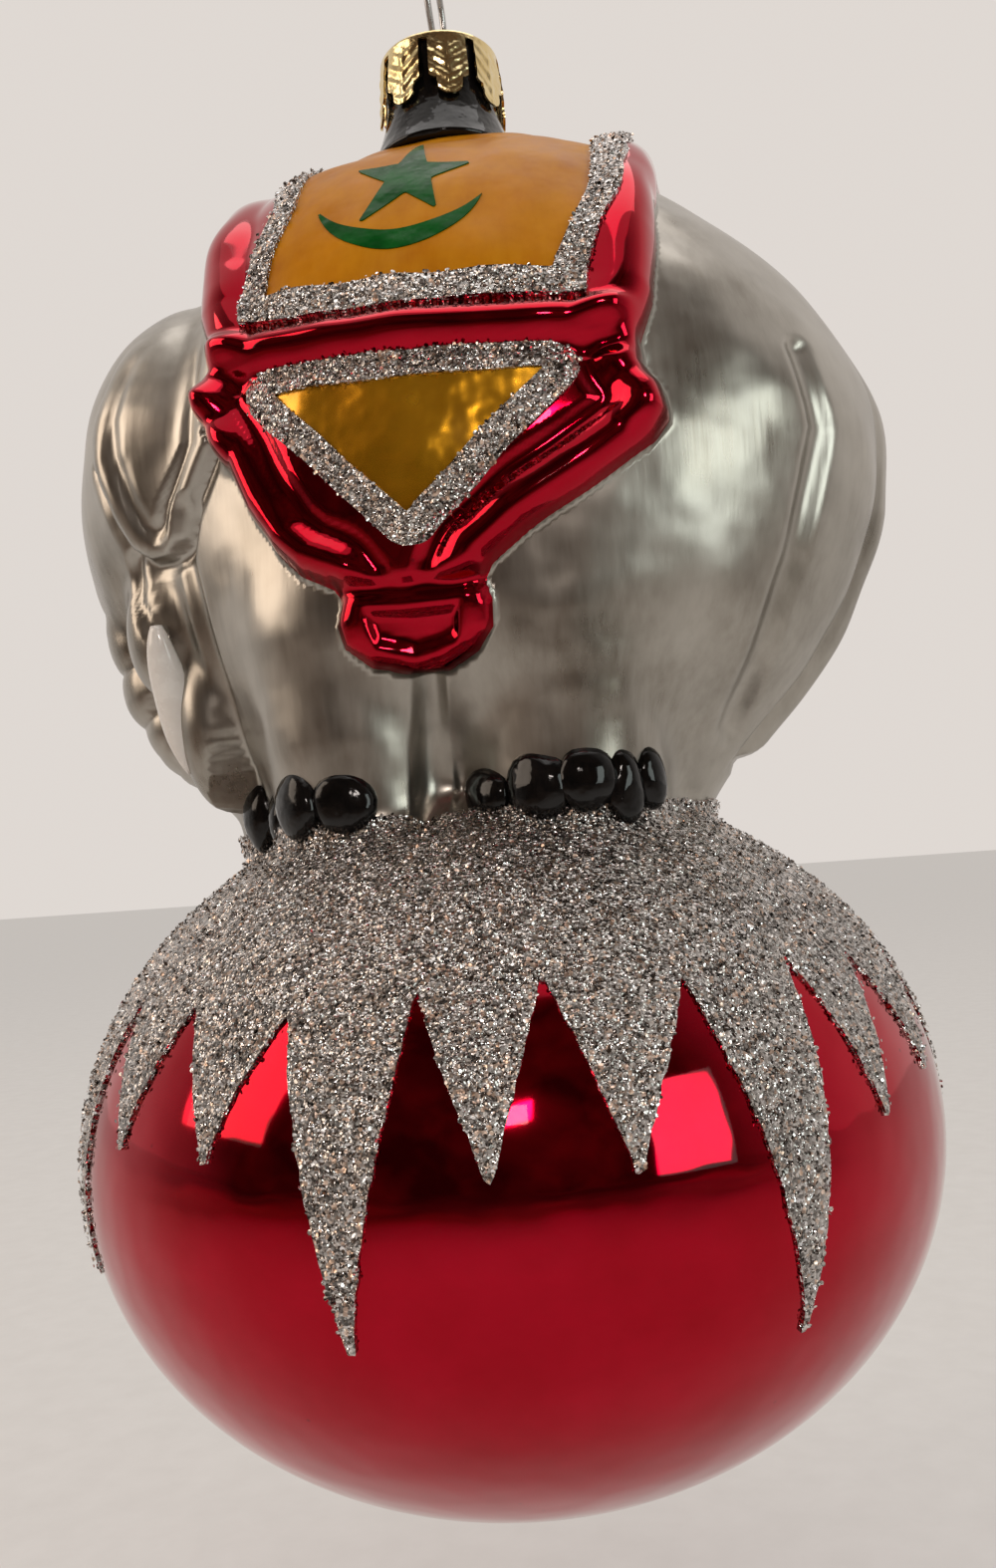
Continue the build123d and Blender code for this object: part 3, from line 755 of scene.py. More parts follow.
def make_handling_wear():
    """Pinholes and rubbed spots where old lacquer has worn, and dull smears of handling."""
    tree, n, given, out = group(
        "handling_wear",
        [("Speck Scale", 700.0), ("Amount", 0.5)],
        [("Specks", "NodeSocketFloat"), ("Smears", "NodeSocketFloat")],
    )
    place = n.add("ShaderNodeTexCoord").outputs["Object"]
    cells = n.add("ShaderNodeTexVoronoi", feature="F1")
    n.join(place, cells.inputs["Vector"])
    n.join(given["Speck Scale"], cells.inputs["Scale"])
    spot = n.range(cells.outputs["Distance"], 0.06, 0.13, 1.0, 0.0)
    where = n.range(n.noise(place, 130.0, 3.0, 0.6), 0.62, 0.7)
    n.join(n.math("MULTIPLY", n.math("MULTIPLY", spot, where), given["Amount"]), out["Specks"])
    n.join(n.range(n.noise(place, 55.0, 5.0, 0.65), 0.45, 0.75), out["Smears"])
    return tree


def make_glitter_grain():
    """Close-packed flakes, each with its own tilt and brightness."""
    tree, n, given, out = group(
        "glitter_grain",
        [("Flake Scale", 2100.0), ("Tilt", 1.1)],
        [
            ("Normal", "NodeSocketVector"),
            ("Shade", "NodeSocketFloat"),
            ("Tint", "NodeSocketFloat"),
            ("Height", "NodeSocketFloat"),
        ],
    )
    place = n.add("ShaderNodeTexCoord").outputs["Object"]
    cells = n.add("ShaderNodeTexVoronoi", feature="F1")
    n.join(place, cells.inputs["Vector"])
    n.join(given["Flake Scale"], cells.inputs["Scale"])
    centred = n.add("ShaderNodeVectorMath", operation="SUBTRACT")
    n.join(cells.outputs["Color"], centred.inputs[0])
    centred.inputs[1].default_value = (0.5, 0.5, 0.5)
    tilt = n.add("ShaderNodeVectorMath", operation="SCALE")
    n.join(centred.outputs[0], tilt.inputs[0])
    n.join(given["Tilt"], tilt.inputs["Scale"])
    leaning = n.add("ShaderNodeVectorMath", operation="ADD")
    n.join(n.add("ShaderNodeNewGeometry").outputs["Normal"], leaning.inputs[0])
    n.join(tilt.outputs[0], leaning.inputs[1])
    unit = n.add("ShaderNodeVectorMath", operation="NORMALIZE")
    n.join(leaning.outputs[0], unit.inputs[0])
    parts = n.add("ShaderNodeSeparateColor")
    n.join(cells.outputs["Color"], parts.inputs[0])
    n.join(unit.outputs[0], out["Normal"])
    n.join(parts.outputs[0], out["Shade"])
    n.join(parts.outputs[1], out["Tint"])
    n.join(cells.outputs["Distance"], out["Height"])
    return tree


GROUPS = {
    "uneven": make_blown_unevenness(),
    "streaks": make_brushed_streaks(),
    "wear": make_handling_wear(),
    "grain": make_glitter_grain(),
}


class Finish(Nodes):
    """One material: its shader, and the shared effects placed in it with its own values."""

    def __init__(self, name, **plain):
        self.material = bpy.data.materials.new(name)
        self.material.use_nodes = True
        super().__init__(self.material.node_tree)
        self.shader = self.tree.nodes["Principled BSDF"]
        for socket, value in plain.items():
            self.shader.inputs[socket.replace("_", " ")].default_value = value

    def effect(self, name, **values):
        node = self.add("ShaderNodeGroup")
        node.node_tree = GROUPS[name]
        for socket, value in values.items():
            node.inputs[socket.replace("_", " ")].default_value = value
        return node.outputs

    def colour(self, value):
        self.feed(self.shader.inputs["Base Color"], value)

    def rough(self, value):
        self.feed(self.shader.inputs["Roughness"], value)

    def bump(self, height, strength, distance, normal=None):
        node = self.add("ShaderNodeBump")
        node.inputs["Strength"].default_value = strength
        node.inputs["Distance"].default_value = distance
        self.join(height, node.inputs["Height"])
        if normal is not None:
            self.join(normal, node.inputs["Normal"])
        self.join(node.outputs[0], self.shader.inputs["Normal"])
        return node.outputs[0]


def red_mirror_lacquer():
    """Clear red lacquer over silvered glass."""
    f = Finish("red_mirror_lacquer", Metallic=1.0, Coat_Weight=0.18, Coat_Roughness=0.03, Coat_IOR=1.5)
    uneven = f.effect("uneven", Wave_Scale=85.0, Patch_Scale=75.0)
    wear = f.effect("wear", Speck_Scale=520.0, Amount=0.75)
    red = f.mix(uneven["Patches"], (0.38, 0.0, 0.010, 1), (0.47, 0.001, 0.018, 1))
    f.colour(f.mix(wear["Specks"], red, (0.10, 0.0, 0.004, 1)))
    f.rough(f.math("ADD", f.math("MULTIPLY", wear["Smears"], 0.07), 0.05))
    f.bump(uneven["Height"], 0.35, 0.0009)
    return f.material


def pewter_lacquer():
    """Satin pewter lacquer, clouded and streaked, over silvered glass."""
    f = Finish("pewter_lacquer", Metallic=0.96, Coat_Weight=0.15, Coat_Roughness=0.2)
    uneven = f.effect("uneven", Wave_Scale=85.0, Patch_Scale=60.0)
    streaks = f.effect("streaks", Scale=1100.0, Stretch=0.06)
    wear = f.effect("wear", Speck_Scale=900.0, Amount=0.35)
    cloud = f.mix(uneven["Patches"], (0.23, 0.205, 0.17, 1), (0.47, 0.445, 0.40, 1))
    streaked = f.mix(f.math("MULTIPLY", streaks["Streaks"], 0.35), cloud, (0.60, 0.57, 0.52, 1))
    f.colour(f.mix(wear["Specks"], streaked, (0.25, 0.22, 0.18, 1)))
    dull = f.math("ADD", uneven["Patches"], f.math("MULTIPLY", streaks["Streaks"], 0.6))
    f.rough(f.range(dull, 0.0, 1.6, 0.24, 0.39))
    both = f.math("ADD", uneven["Height"], f.math("MULTIPLY", streaks["Height"], 0.04))
    f.bump(both, 0.5, 0.0018)
    return f.material


def gold_enamel():
    """Golden yellow satin enamel of the upper panel."""
    f = Finish("gold_enamel", Coat_Weight=0.03, Coat_Roughness=0.12, Specular_IOR_Level=0.08)
    uneven = f.effect("uneven", Wave_Scale=240.0, Patch_Scale=170.0)
    streaks = f.effect("streaks", Scale=500.0, Stretch=0.25)
    gold = f.mix(uneven["Patches"], (0.40, 0.125, 0.0, 1), (0.53, 0.19, 0.001, 1))
    f.colour(f.mix(f.math("MULTIPLY", streaks["Streaks"], 0.3), gold, (0.72, 0.36, 0.02, 1)))
    f.rough(f.range(streaks["Streaks"], 0.0, 1.0, 0.3, 0.42))
    f.bump(uneven["Height"], 0.3, 0.0007)
    return f.material


def amber_lacquer():
    """Amber lacquer of the three-cornered panel, more metallic than the enamel."""
    f = Finish("amber_lacquer", Metallic=0.8, Coat_Weight=0.5, Coat_Roughness=0.12)
    uneven = f.effect("uneven", Wave_Scale=200.0, Patch_Scale=120.0)
    wear = f.effect("wear", Speck_Scale=700.0, Amount=0.3)
    amber = f.mix(uneven["Patches"], (0.60, 0.26, 0.003, 1), (0.78, 0.38, 0.012, 1))
    f.colour(f.mix(wear["Specks"], amber, (0.3, 0.12, 0.0, 1)))
    f.rough(f.range(wear["Smears"], 0.0, 1.0, 0.2, 0.34))
    f.bump(uneven["Height"], 0.5, 0.0012)
    return f.material


def green_enamel():
    """Glossy green enamel laid on by brush."""
    f = Finish("green_enamel", Coat_Weight=0.04, Coat_Roughness=0.08, Specular_IOR_Level=0.06)
    uneven = f.effect("uneven", Wave_Scale=420.0, Patch_Scale=330.0)
    f.colour(f.mix(uneven["Patches"], (0.001, 0.05, 0.006, 1), (0.002, 0.095, 0.010, 1)))
    f.rough(f.range(uneven["Patches"], 0.0, 1.0, 0.16, 0.3))
    f.bump(uneven["Height"], 0.5, 0.0006)
    return f.material


def black_gloss():
    """Thick glossy black paint."""
    f = Finish("black_gloss", Coat_Weight=0.1, Coat_Roughness=0.03, Specular_IOR_Level=0.3)
    uneven = f.effect("uneven", Wave_Scale=500.0, Patch_Scale=260.0)
    wear = f.effect("wear", Speck_Scale=1500.0, Amount=0.6)
    black = f.mix(uneven["Patches"], (0.002, 0.002, 0.002, 1), (0.006, 0.005, 0.005, 1))
    f.colour(f.mix(wear["Specks"], black, (0.12, 0.11, 0.11, 1)))
    f.rough(f.range(wear["Smears"], 0.0, 1.0, 0.07, 0.18))
    f.bump(uneven["Height"], 0.35, 0.0005)
    return f.material


def white_enamel():
    """Glossy white paint of the tusks."""
    f = Finish("white_enamel", Coat_Weight=0.6, Coat_Roughness=0.08)
    uneven = f.effect("uneven", Wave_Scale=450.0, Patch_Scale=300.0)
    wear = f.effect("wear", Speck_Scale=1200.0, Amount=0.5)
    white = f.mix(uneven["Patches"], (0.70, 0.66, 0.62, 1), (0.80, 0.78, 0.75, 1))
    f.colour(f.mix(wear["Specks"], white, (0.45, 0.4, 0.34, 1)))
    f.rough(f.range(uneven["Patches"], 0.0, 1.0, 0.2, 0.34))
    f.bump(uneven["Height"], 0.4, 0.0005)
    return f.material


def gold_cap_metal():
    """Thin pressed cap metal, bright pale gold with rubbed crowns."""
    f = Finish("gold_cap", Metallic=1.0)
    uneven = f.effect("uneven", Wave_Scale=700.0, Patch_Scale=260.0)
    wear = f.effect("wear", Speck_Scale=1600.0, Amount=0.8)
    gold = f.mix(uneven["Patches"], (0.74, 0.56, 0.25, 1), (0.86, 0.71, 0.40, 1))
    f.colour(f.mix(wear["Specks"], gold, (0.36, 0.24, 0.08, 1)))
    f.rough(f.range(wear["Smears"], 0.0, 1.0, 0.17, 0.33))
    f.bump(uneven["Height"], 0.45, 0.0004)
    return f.material


def steel_wire_metal():
    """Drawn steel wire with fine lines along it."""
    f = Finish("steel_wire", Metallic=1.0)
    streaks = f.effect("streaks", Scale=5200.0, Stretch=0.05)
    wear = f.effect("wear", Speck_Scale=2600.0, Amount=0.6)
    steel = f.mix(streaks["Streaks"], (0.42, 0.41, 0.40, 1), (0.64, 0.63, 0.62, 1))
    f.colour(f.mix(wear["Specks"], steel, (0.2, 0.16, 0.12, 1)))
    f.rough(f.range(streaks["Streaks"], 0.0, 1.0, 0.22, 0.36))
    f.bump(streaks["Height"], 0.3, 0.0001)
    return f.material


def silver_glitter(name, flake_scale, tilt):
    """Silver glitter: every grain its own small mirror, a few of them warm or blue."""
    f = Finish(name, Metallic=1.0)
    grain = f.effect("grain", Flake_Scale=flake_scale, Tilt=tilt)
    silver = f.mix(grain["Shade"], (0.11, 0.098, 0.09, 1), (0.80, 0.76, 0.73, 1))
    warm = f.mix(f.range(grain["Tint"], 0.86, 0.92, 0.0, 0.8), silver, (0.95, 0.70, 0.55, 1))
    f.colour(f.mix(f.range(grain["Tint"], 0.0, 0.09, 0.85, 0.0), warm, (0.97, 0.97, 1.0, 1)))
    f.rough(f.range(grain["Tint"], 0.0, 1.0, 0.08, 0.34))
    f.bump(grain["Height"], 0.5, 0.0003, grain["Normal"])
    return f.material


FINISH = {
    RED: red_mirror_lacquer(),
    PEWTER: pewter_lacquer(),
    GOLD: gold_enamel(),
    AMBER: amber_lacquer(),
    GREEN: green_enamel(),
    BLACK: black_gloss(),
    WHITE: white_enamel(),
    BRASS: gold_cap_metal(),
    STEEL: steel_wire_metal(),
    GLITTER: silver_glitter(GLITTER, 3000.0, 1.25),
    LOOSE: silver_glitter(LOOSE, 1900.0, 0.25),
}


# --- The ornament's pieces ---------------------------------------------------------------
def flank_at(x, z):
    """How far from the middle plane the near flank's skin lies at a place in the side view."""
    points = np.array([[x, 0.0, z]])
    near, far = 0.0, 40.0
    for _ in range(24):
        middle = (near + far) / 2
        points[0, 1] = -middle
        if whole(points)[0] < 0:
            near = middle
        else:
            far = middle
    return near


def sides(sheet):
    """The near and the far half of a sheet."""
    return (("near", sheet.where("near")), ("far", sheet.where(-sheet.column("near"))))


def make_cloth(upper):
    """Red saddle cloth: middle across the back, hem rolls, flaps and tabs."""
    cloth = upper.where("cloth")
    level = cloth.column("level")
    glass_piece("saddle_cloth", cloth.where(level - HEM_ROLL - HEM_CUT), RED)
    for side, half in sides(cloth.where(HEM_ROLL + HEM_CUT - level)):
        level = half.column("level")
        glass_piece(f"hem_roll_{side}", half.where(level - FLAP_TOP), RED)
        flap = half.where(FLAP_TOP - level)
        level = flap.column("level")
        glass_piece(f"flap_{side}", flap.where(level - TAB_TOP), RED)
        glass_piece(f"flap_tassel_{side}", flap.where(TAB_TOP - level), RED)
    return cloth


def make_border(name, sheet, outer, inner, side=""):
    """Glitter border between two outlines, with its loose flakes."""
    border = sheet.where(outer)
    border = border.where(-border.column(inner))
    glass_piece(name + side, border, GLITTER, BORDER_WALL, BORDER_RAISE)
    flakes(f"{name}_flakes{side}", border, FLAKES_ON_BORDER, name + side, BORDER_RAISE + 0.05)


def make_panels(cloth):
    """Painted panels with their star, crescent and glitter borders."""
    level = cloth.column("level")
    above = cloth.where(level - HEM_ROLL)
    panel = above.where("panel")
    glass_piece("saddle_panel", panel, GOLD, PAINT_WALL, PANEL_RAISE)
    make_border("saddle_glitter", above, "frame", "panel")
    for side, half in sides(panel):
        for sign in ("star", "crescent"):
            glass_piece(f"{sign}_{side}", half.where(sign), GREEN, PAINT_WALL, SIGN_RAISE)
    for side, half in sides(cloth.where(HEM_ROLL - level)):
        glass_piece(f"flap_panel_{side}", half.where("triangle"), AMBER, PAINT_WALL, PANEL_RAISE)
        make_border("flap_glitter", half, "triangle_frame", "triangle", f"_{side}")


def make_elephant(upper):
    """Pewter body, cut at its creases into head, ears, trunk, tail, legs and torso."""
    bare = upper.where(-upper.column("cloth"))
    for side, half in sides(bare):
        glass_piece(f"ear_{side}", half.where("ear"), PEWTER)
    bare = bare.where(-bare.column("ear"))
    for part in ("head", "trunk", "tail"):
        glass_piece(part, bare.where(part), PEWTER)
        bare = bare.where(-bare.column(part))
    for part in ("front", "hind"):
        for side, half in sides(bare.where(part)):
            glass_piece(f"{part}_leg_{side}", half, PEWTER)
        bare = bare.where(-bare.column(part))
    glass_piece("torso", bare, PEWTER)


def thinned(sheet):
    """The uncut sheet with every second row and column left out."""
    rows = len(sheet.place) // COLUMNS
    values = sheet.values.reshape(rows, COLUMNS, -1)[::2, ::2]
    faces = grid_faces(*values.shape[:2])
    return Sheet(values.reshape(-1, values.shape[-1]), faces, sheet.names)


def make_ball(sheet):
    """Red ball and the glitter icicles that run down it."""
    smooth = thinned(sheet)
    smooth = smooth.where(-smooth.column("feet"))
    smooth = smooth.where(BALL_TOP - smooth.place[:, 2])
    glass_piece("glass_ball", smooth, RED, BALL_WALL)
    frost = sheet.where(-sheet.column("feet")).where("icicles")
    glass_piece("icicle_glitter", frost, GLITTER, FROST_WALL, FROST_RAISE)
    flakes("icicle_glitter_flakes", frost, FLAKES_ON_BALL, "icicle_glitter", FROST_RAISE + 0.05)


def lump(centre, half, lean, seed):
    """A rounded dab of paint over a moulded lump."""
    rings, around = 12, 20
    tilt = np.linspace(0, pi, rings + 1)[:, None]
    turn = np.linspace(0, 2 * pi, around, endpoint=False)[None, :]
    x = np.sin(tilt) * np.cos(turn)
    y = np.sin(tilt) * np.sin(turn)
    z = np.cos(tilt) + 0 * turn
    points = np.stack([x, y, z], -1).reshape(-1, 3)
    points *= (1 + 0.09 * wander(*points.T, 1.7, seed))[:, None]
    points = points * half
    c, s = cos(lean), sin(lean)
    points = points @ np.array([[c, s, 0], [-s, c, 0], [0, 0, 1]]) + centre
    return points, grid_quads(rings + 1, around)[:, [0, 3, 2, 1]]


def make_toenails():
    """Glossy black toenails round the outside of each foot."""
    for place, middle in LEGS.items():
        for side, sign in (("near", -1), ("far", 1)):
            points, faces = [], []
            for number, (nail_x, nail_half) in enumerate(NAILS[place]):
                height = FEET + NAIL_HEIGHT + 0.4 * sin(2.3 * number + middle)
                skin = np.array([[nail_x, -flank_at(nail_x, height), height]])
                way = skin_normals(skin)[0]
                turn = atan2(way[1], way[0])
                centre = skin[0] - way * 0.15
                half = np.array([NAIL_DEPTH, nail_half, NAIL_TALL + 0.4 * sin(3.1 * number + middle)])
                nail, nail_faces = lump(centre, half, turn, 40 + number + int(middle))
                faces.append(nail_faces + sum(len(p) for p in points))
                points.append(nail)
            points, faces = np.concatenate(points), np.concatenate(faces)
            if sign > 0:
                points, faces = points * (1, -1, 1), faces[:, ::-1]
            name = f"{place}_toenails_{side}"
            new_piece(name, points, faces, BLACK)


def swept(centres, radii, across, up, around=28):
    """A solid swept along centres, as wide as its radii, with pointed ends."""
    turn = np.linspace(0, 2 * pi, around, endpoint=False)
    ring = np.cos(turn)[None, :, None] * across[:, None, :] + np.sin(turn)[None, :, None] * up[:, None, :]
    points = (centres[:, None, :] + radii[:, None, None] * ring).reshape(-1, 3)
    faces = grid_quads(len(centres), around).tolist()
    faces.append(list(range(around))[::-1])
    faces.append(list(range(len(points) - around, len(points))))
    return points, faces


def make_tusks():
    """White tusks, curved and pointed, lying along the cheeks."""
    t = np.linspace(0.0, 1.0, 26)
    x = TUSK[0][0] + (TUSK[1][0] - TUSK[0][0]) * t**1.4
    z = TUSK[0][1] + (TUSK[1][1] - TUSK[0][1]) * t
    depth = np.array([flank_at(px, pz) for px, pz in zip(x, z)])
    depth = np.convolve(np.pad(depth, 4, mode="edge"), np.ones(9) / 9, mode="valid")
    radii = TUSK_RADIUS * np.sin(pi * np.clip(t * 0.93 + 0.06, 0, 1)) ** 0.7 + 0.02
    centres = np.stack([x, -depth - 0.1, z], -1)
    along = np.gradient(centres, axis=0)
    along /= np.linalg.norm(along, axis=1)[:, None]
    across = np.cross(along, (0, 1, 0))
    across /= np.linalg.norm(across, axis=1)[:, None]
    up = np.cross(along, across) * 0.75
    points, faces = swept(centres, radii, across, up)
    new_piece("tusk_near", points, faces, WHITE)
    new_piece("tusk_far", points * (1, -1, 1), [face[::-1] for face in faces], WHITE)


def make_neck():
    """Gloss black neck that the cap sits on, flaring where it leaves the back."""
    outside = []
    for t in np.linspace(0, 1, 22):
        ripple = 0.06 * sin(9 * t)
        outside.append((NECK_RADIUS + NECK_FLARE * (1 - t) ** 3 + ripple, NECK_FOOT + NECK_LENGTH * t))
    inside = [(NECK_RADIUS - NECK_WALL, z) for _, z in outside[::-3]]
    radius, height = np.array(outside + inside).T[:, :, None]
    around = 96
    turn = np.linspace(0, 2 * pi, around, endpoint=False)
    points = np.stack([radius * np.cos(turn), radius * np.sin(turn), height + 0 * turn], -1).reshape(-1, 3)
    new_piece("neck", points, grid_quads(len(radius), around, closed=True), BLACK)


def stamped_tabs(local, below, half):
    """Where the stamped sheet has metal, above 0, and how far its pattern raises it.

    Both go by the place along each tab's width and below the cap's rim. Each tab has a long rounded
    lobe, lower shoulders beside it, a spine up its middle and chevrons that slope away from the spine.
    """
    across = np.abs(local)
    lobe = TAB_LENGTH - LOBE_ROUND * (1 - np.sqrt(np.clip(1 - (local / 1.45) ** 2, 0, 1)))
    corner = np.clip(across - half + 1.3, 0, 1)
    end = np.where(across < LOBE_HALF, lobe, TAB_LENGTH - SHOULDER_HEIGHT - 0.6 * corner**2) + 0.5
    slit = np.where(below < 0.25, 2.0, half - TAB_SLIT / 2 - across)
    chevrons = CHEVRON_DEPTH * np.sin((across * CHEVRON_SLOPE + below) * 2 * pi / CHEVRON_STEP)
    chevrons *= np.clip((half - across) / 0.8, 0, 1) * np.clip((end - below) / 0.5, 0, 1)
    chevrons *= fade(below, 0.4, 1.2)
    spine = SPINE_HEIGHT * np.exp(-((local / 0.35) ** 2)) * fade(below, 0.6, 1.2)
    curl = TAB_CURL * np.clip(across / half, 0, 1) ** 2 * np.clip(below / 3, 0, 1)
    return np.minimum(end - below, slit), chevrons + spine + curl


def cap_sheet():
    """Cap metal as one sheet, from the middle of its top down to the tabs' ends."""
    around, steps = 440, 110
    edge_radius = NECK_RADIUS + CAP_GAP + CAP_SHEET
    flat = edge_radius - CAP_BEND
    quarter = CAP_BEND * pi / 2
    s = np.linspace(0.3, flat + quarter + CAP_SKIRT, steps)[:, None]
    turn = np.linspace(0, 2 * pi, around, endpoint=False)[None, :]
    over = np.clip((s - flat) / quarter, 0, 1) * pi / 2
    drop = np.clip(s - flat - quarter, 0, None)
    pitch = 2 * pi / CAP_TABS
    local = ((turn + radians(CAP_TURN) + pitch / 2) % pitch - pitch / 2) * edge_radius + 0 * s
    metal, raised = stamped_tabs(local, drop + 0 * turn, pitch * edge_radius / 2)
    radius = np.minimum(s, flat) + CAP_BEND * np.sin(over) + drop * tan(radians(TAB_FLARE)) + raised
    height = CAP_TOP - CAP_BEND * (1 - np.cos(over)) - drop + 0 * turn
    points = np.stack([radius * np.cos(turn), radius * np.sin(turn), height], -1).reshape(-1, 3)
    faces = grid_faces(steps, around)[:, ::-1]
    values = np.concatenate([points, normals_of(points, faces), metal.reshape(-1, 1)], 1)
    return Sheet(values, faces, {"metal": 6})


def make_cap():
    """Stamped gold cap with its ring of embossed tabs."""
    glass_piece("cap", cap_sheet().where("metal"), BRASS, wall=CAP_SHEET * 0.7, body="cap")


def make_hanger():
    """The wire keeps its model's shape and gets its drawn steel."""
    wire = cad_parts["wire_hanger"]
    wire.data.materials.clear()
    wire.data.materials.append(FINISH[STEEL])


# --- Studio ------------------------------------------------------------------------------
# In metres: the gap under the ball, then each lamp's place, size, watts and colour.
FLOOR_GAP = 0.022
LAMPS = {
    "window_left": ((-0.58, -0.26, 0.22), (0.34, 0.5), 1.6, (1.0, 0.83, 0.68)),
    "window_right": ((0.55, -0.42, 0.02), (0.25, 0.35), 1.0, (0.90, 1.0, 0.96)),
    "room_lamp": ((0.12, -0.7, 0.16), (0.10, 0.08), 0.7, (1.0, 0.9, 0.84)),
    "ceiling": ((0.05, 0.05, 0.75), (0.7, 0.7), 1.8, (1.0, 0.97, 0.95)),
}


def make_camera():
    """Camera at the height of the waist, close to the ornament and tilted a little."""
    turn, pitch, roll = radians(10.0), radians(3.9), radians(4.1)
    aside, back, above = 0.9, 147.8, 28.0
    right = Vector((cos(turn), sin(turn), 0))
    ahead = Vector((-sin(turn), cos(turn), 0))
    upright = Vector((0, 0, 1))
    forward = ahead * cos(pitch) + upright * sin(pitch)
    level_up = upright * cos(pitch) - ahead * sin(pitch)
    side = right * cos(roll) - level_up * sin(roll)
    top = right * sin(roll) + level_up * cos(roll)
    place = right * aside - ahead * back + upright * above
    lens = bpy.data.cameras.new("camera")
    lens.lens = 29.73
    lens.sensor_width = 36.0
    lens.clip_start = 0.01
    camera = bpy.data.objects.new("camera", lens)
    turned_axes = Matrix((side, top, -forward)).transposed().to_4x4()
    camera.matrix_world = Matrix.Translation((place - Vector((0, 0, HANG))) * MM) @ turned_axes
    bpy.context.scene.collection.objects.link(camera)
    bpy.context.scene.camera = camera


def make_lamp(name, place, aim, size, watts, colour):
    """A soft square lamp."""
    light = bpy.data.lights.new(name, "AREA")
    light.shape = "RECTANGLE"
    light.size, light.size_y = size
    light.energy = watts
    light.color = colour
    lamp = bpy.data.objects.new(name, light)
    lamp.location = place
    lamp.rotation_mode = "QUATERNION"
    lamp.rotation_quaternion = (Vector(aim) - Vector(place)).to_track_quat("-Z", "Y")
    bpy.context.scene.collection.objects.link(lamp)


def seen_directly(nodes):
    """1 for what the eye, a mirror or clear glass shows, 0 for what only lights."""
    path = nodes.add("ShaderNodeLightPath").outputs
    seen = nodes.math("ADD", path["Is Camera Ray"], path["Is Glossy Ray"])
    return nodes.math("ADD", seen, path["Is Transmission Ray"], clamp=True)


def stage_card(name, corners, faces, rough):
    """A card of the studio, and the finish that it gets."""
    mesh = bpy.data.meshes.new(name)
    mesh.from_pydata(corners, [], faces)
    card = bpy.data.objects.new(name, mesh)
    bpy.context.scene.collection.objects.link(card)
    finish = Finish(name, Roughness=rough)
    mesh.materials.append(finish.material)
    return card, finish


def mix_shaders(finish, share, first, second):
    """The finish shows the first shader where the share is 0 and the second where it is 1."""
    both = finish.add("ShaderNodeMixShader")
    finish.join(share, both.inputs[0])
    finish.join(first.outputs[0], both.inputs[1])
    finish.join(second.outputs[0], both.inputs[2])
    finish.join(both.outputs[0], finish.tree.nodes["Material Output"].inputs["Surface"])


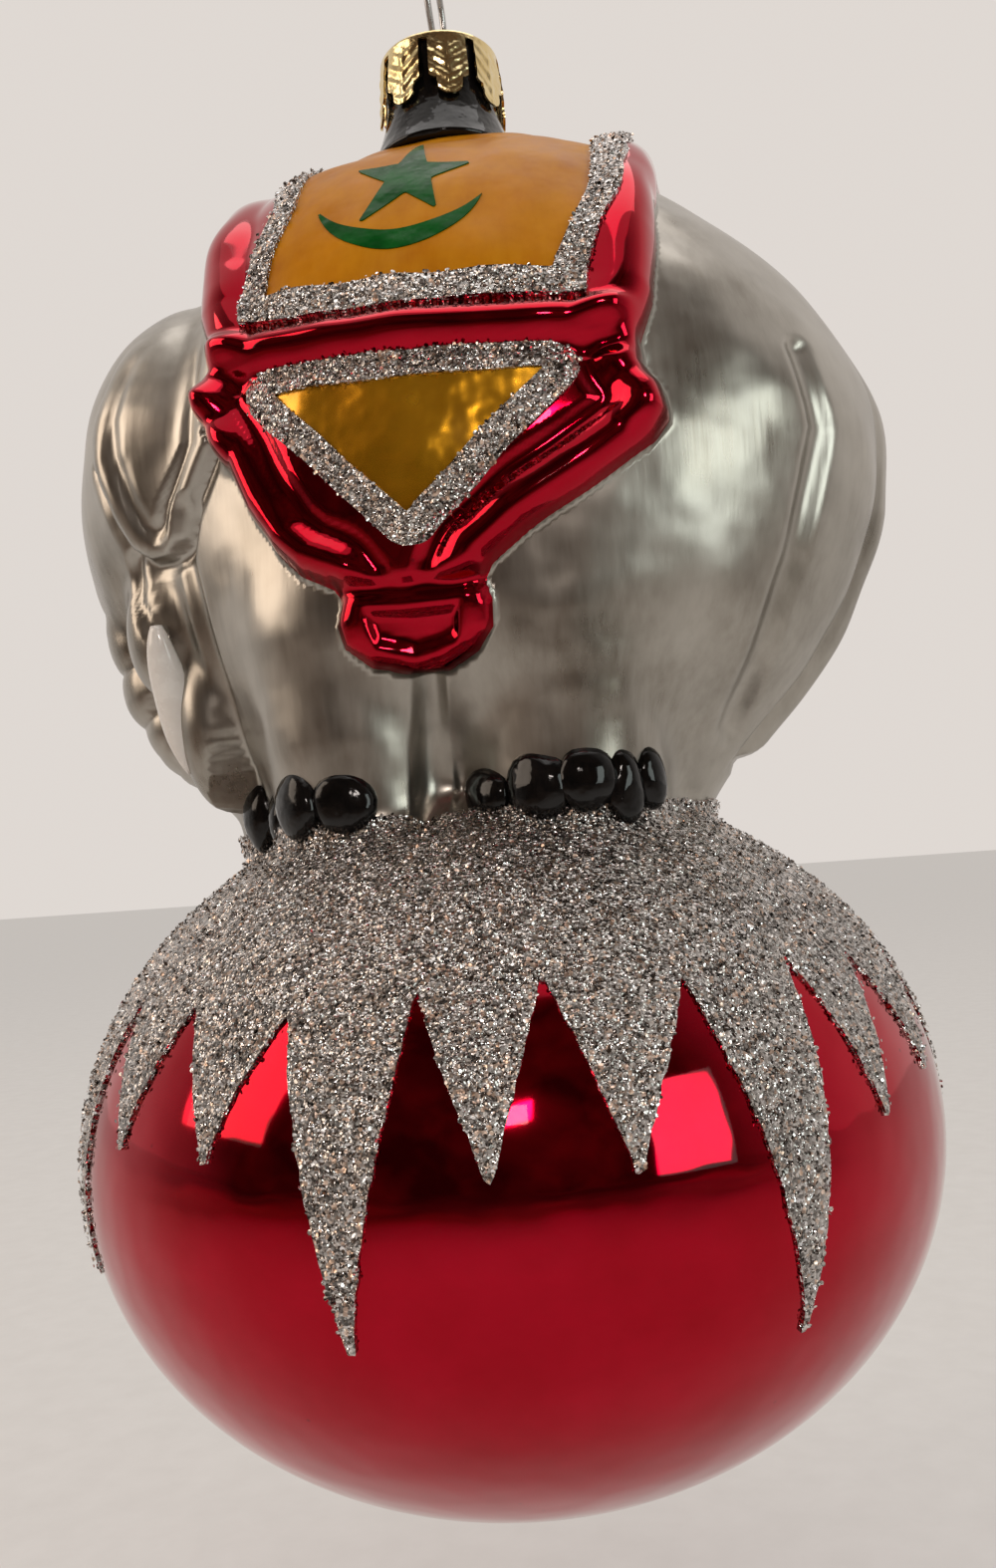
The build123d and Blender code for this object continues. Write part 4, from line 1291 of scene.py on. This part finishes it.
def make_room_card(level):
    """Dim curved card around the front, so that the mirrored glass has a room to show.

    It thins out towards the sides and towards the foot of the ornament, and only
    mirrored rays meet it.
    """
    near, away, top, steps = 0.1, 1.6, 2.6, 32
    corners = []
    for step in range(steps + 1):
        angle = radians(-200.0 + 220.0 * step / steps)
        for radius, height in ((near, level + 0.003), (away, level + 0.003), (away, top)):
            corners.append((radius * cos(angle), radius * sin(angle), height))
    rings = [3 * step + ring for step in range(steps) for ring in (0, 1)]
    faces = [(first, first + 3, first + 4, first + 1) for first in rings]
    card, dim = stage_card("room_card", corners, faces, 0.9)
    card.visible_camera = False
    card.visible_diffuse = False
    card.visible_shadow = False
    place = dim.add("ShaderNodeTexCoord").outputs["Object"]
    cloudy = dim.range(dim.noise(place, 1.6, 4.0, 0.6), 0.4, 0.65)
    dim.colour(dim.mix(cloudy, (0.06, 0.042, 0.032, 1), (0.27, 0.17, 0.115, 1)))
    middle = dim.add("ShaderNodeVectorMath", operation="NORMALIZE")
    dim.join(place, middle.inputs[0])
    way = dim.add("ShaderNodeSeparateXYZ")
    dim.join(middle.outputs[0], way.inputs[0])
    reach = dim.add("ShaderNodeVectorMath", operation="LENGTH")
    dim.join(place, reach.inputs[0])
    in_front = dim.range(way.outputs[1], 0.25, -0.5)
    share = dim.math("MULTIPLY", in_front, dim.range(reach.outputs["Value"], 0.24, 0.44))
    mix_shaders(dim, share, dim.add("ShaderNodeBsdfTransparent"), dim.shader)


def make_floor(level):
    """Pale floor, which mirrors and the eye see as pale as the wall, and which keeps its shadow."""
    edge = 9.0
    corners = [(-edge, -edge, level), (edge, -edge, level), (edge, edge, level), (-edge, edge, level)]
    _, plain = stage_card("floor", corners, [(0, 1, 2, 3)], 0.8)
    speckle = plain.noise(plain.add("ShaderNodeTexCoord").outputs["Object"], 160.0, 4.0, 0.6)
    shade = plain.mix(speckle, (0.68, 0.64, 0.60, 1), (0.76, 0.72, 0.68, 1))
    plain.colour(shade)
    glow = plain.add("ShaderNodeEmission")
    plain.join(shade, glow.inputs["Color"])
    mix_shaders(plain, plain.math("MULTIPLY", seen_directly(plain), 0.6), plain.shader, glow)


def make_wall():
    """Pale wall all round for the eye and for mirrors, and a dimmer light from it."""
    world = bpy.data.worlds.new("studio")
    world.use_nodes = True
    bpy.context.scene.world = world
    n = Nodes(world.node_tree)
    way = n.add("ShaderNodeSeparateXYZ")
    n.join(n.add("ShaderNodeTexCoord").outputs["Generated"], way.inputs[0])
    behind = n.range(way.outputs[1], -0.5, 0.25)
    lit = n.mix(behind, (0.28, 0.26, 0.25, 1), (0.42, 0.40, 0.39, 1))
    shown = n.mix(seen_directly(n), lit, (0.74, 0.69, 0.65, 1))
    n.join(shown, world.node_tree.nodes["Background"].inputs["Color"])


def make_studio():
    """Pale floor and wall, a dim room in front and four soft lamps."""
    level = ball_low.z - FLOOR_GAP
    make_floor(level)
    make_wall()
    make_room_card(level)
    middle = Vector((0, 0, -HANG * MM))
    for name, (place, size, watts, colour) in LAMPS.items():
        make_lamp(name, place, middle, size, watts, colour)


# --- Put together ------------------------------------------------------------------------
make_camera()
make_studio()
shell = glass_sheet()
elephant = shell.where("feet")
make_panels(make_cloth(elephant))
make_elephant(elephant)
make_ball(shell)
make_toenails()
make_tusks()
make_neck()
make_cap()
make_hanger()

bpy.context.scene.view_settings.view_transform = "Standard"
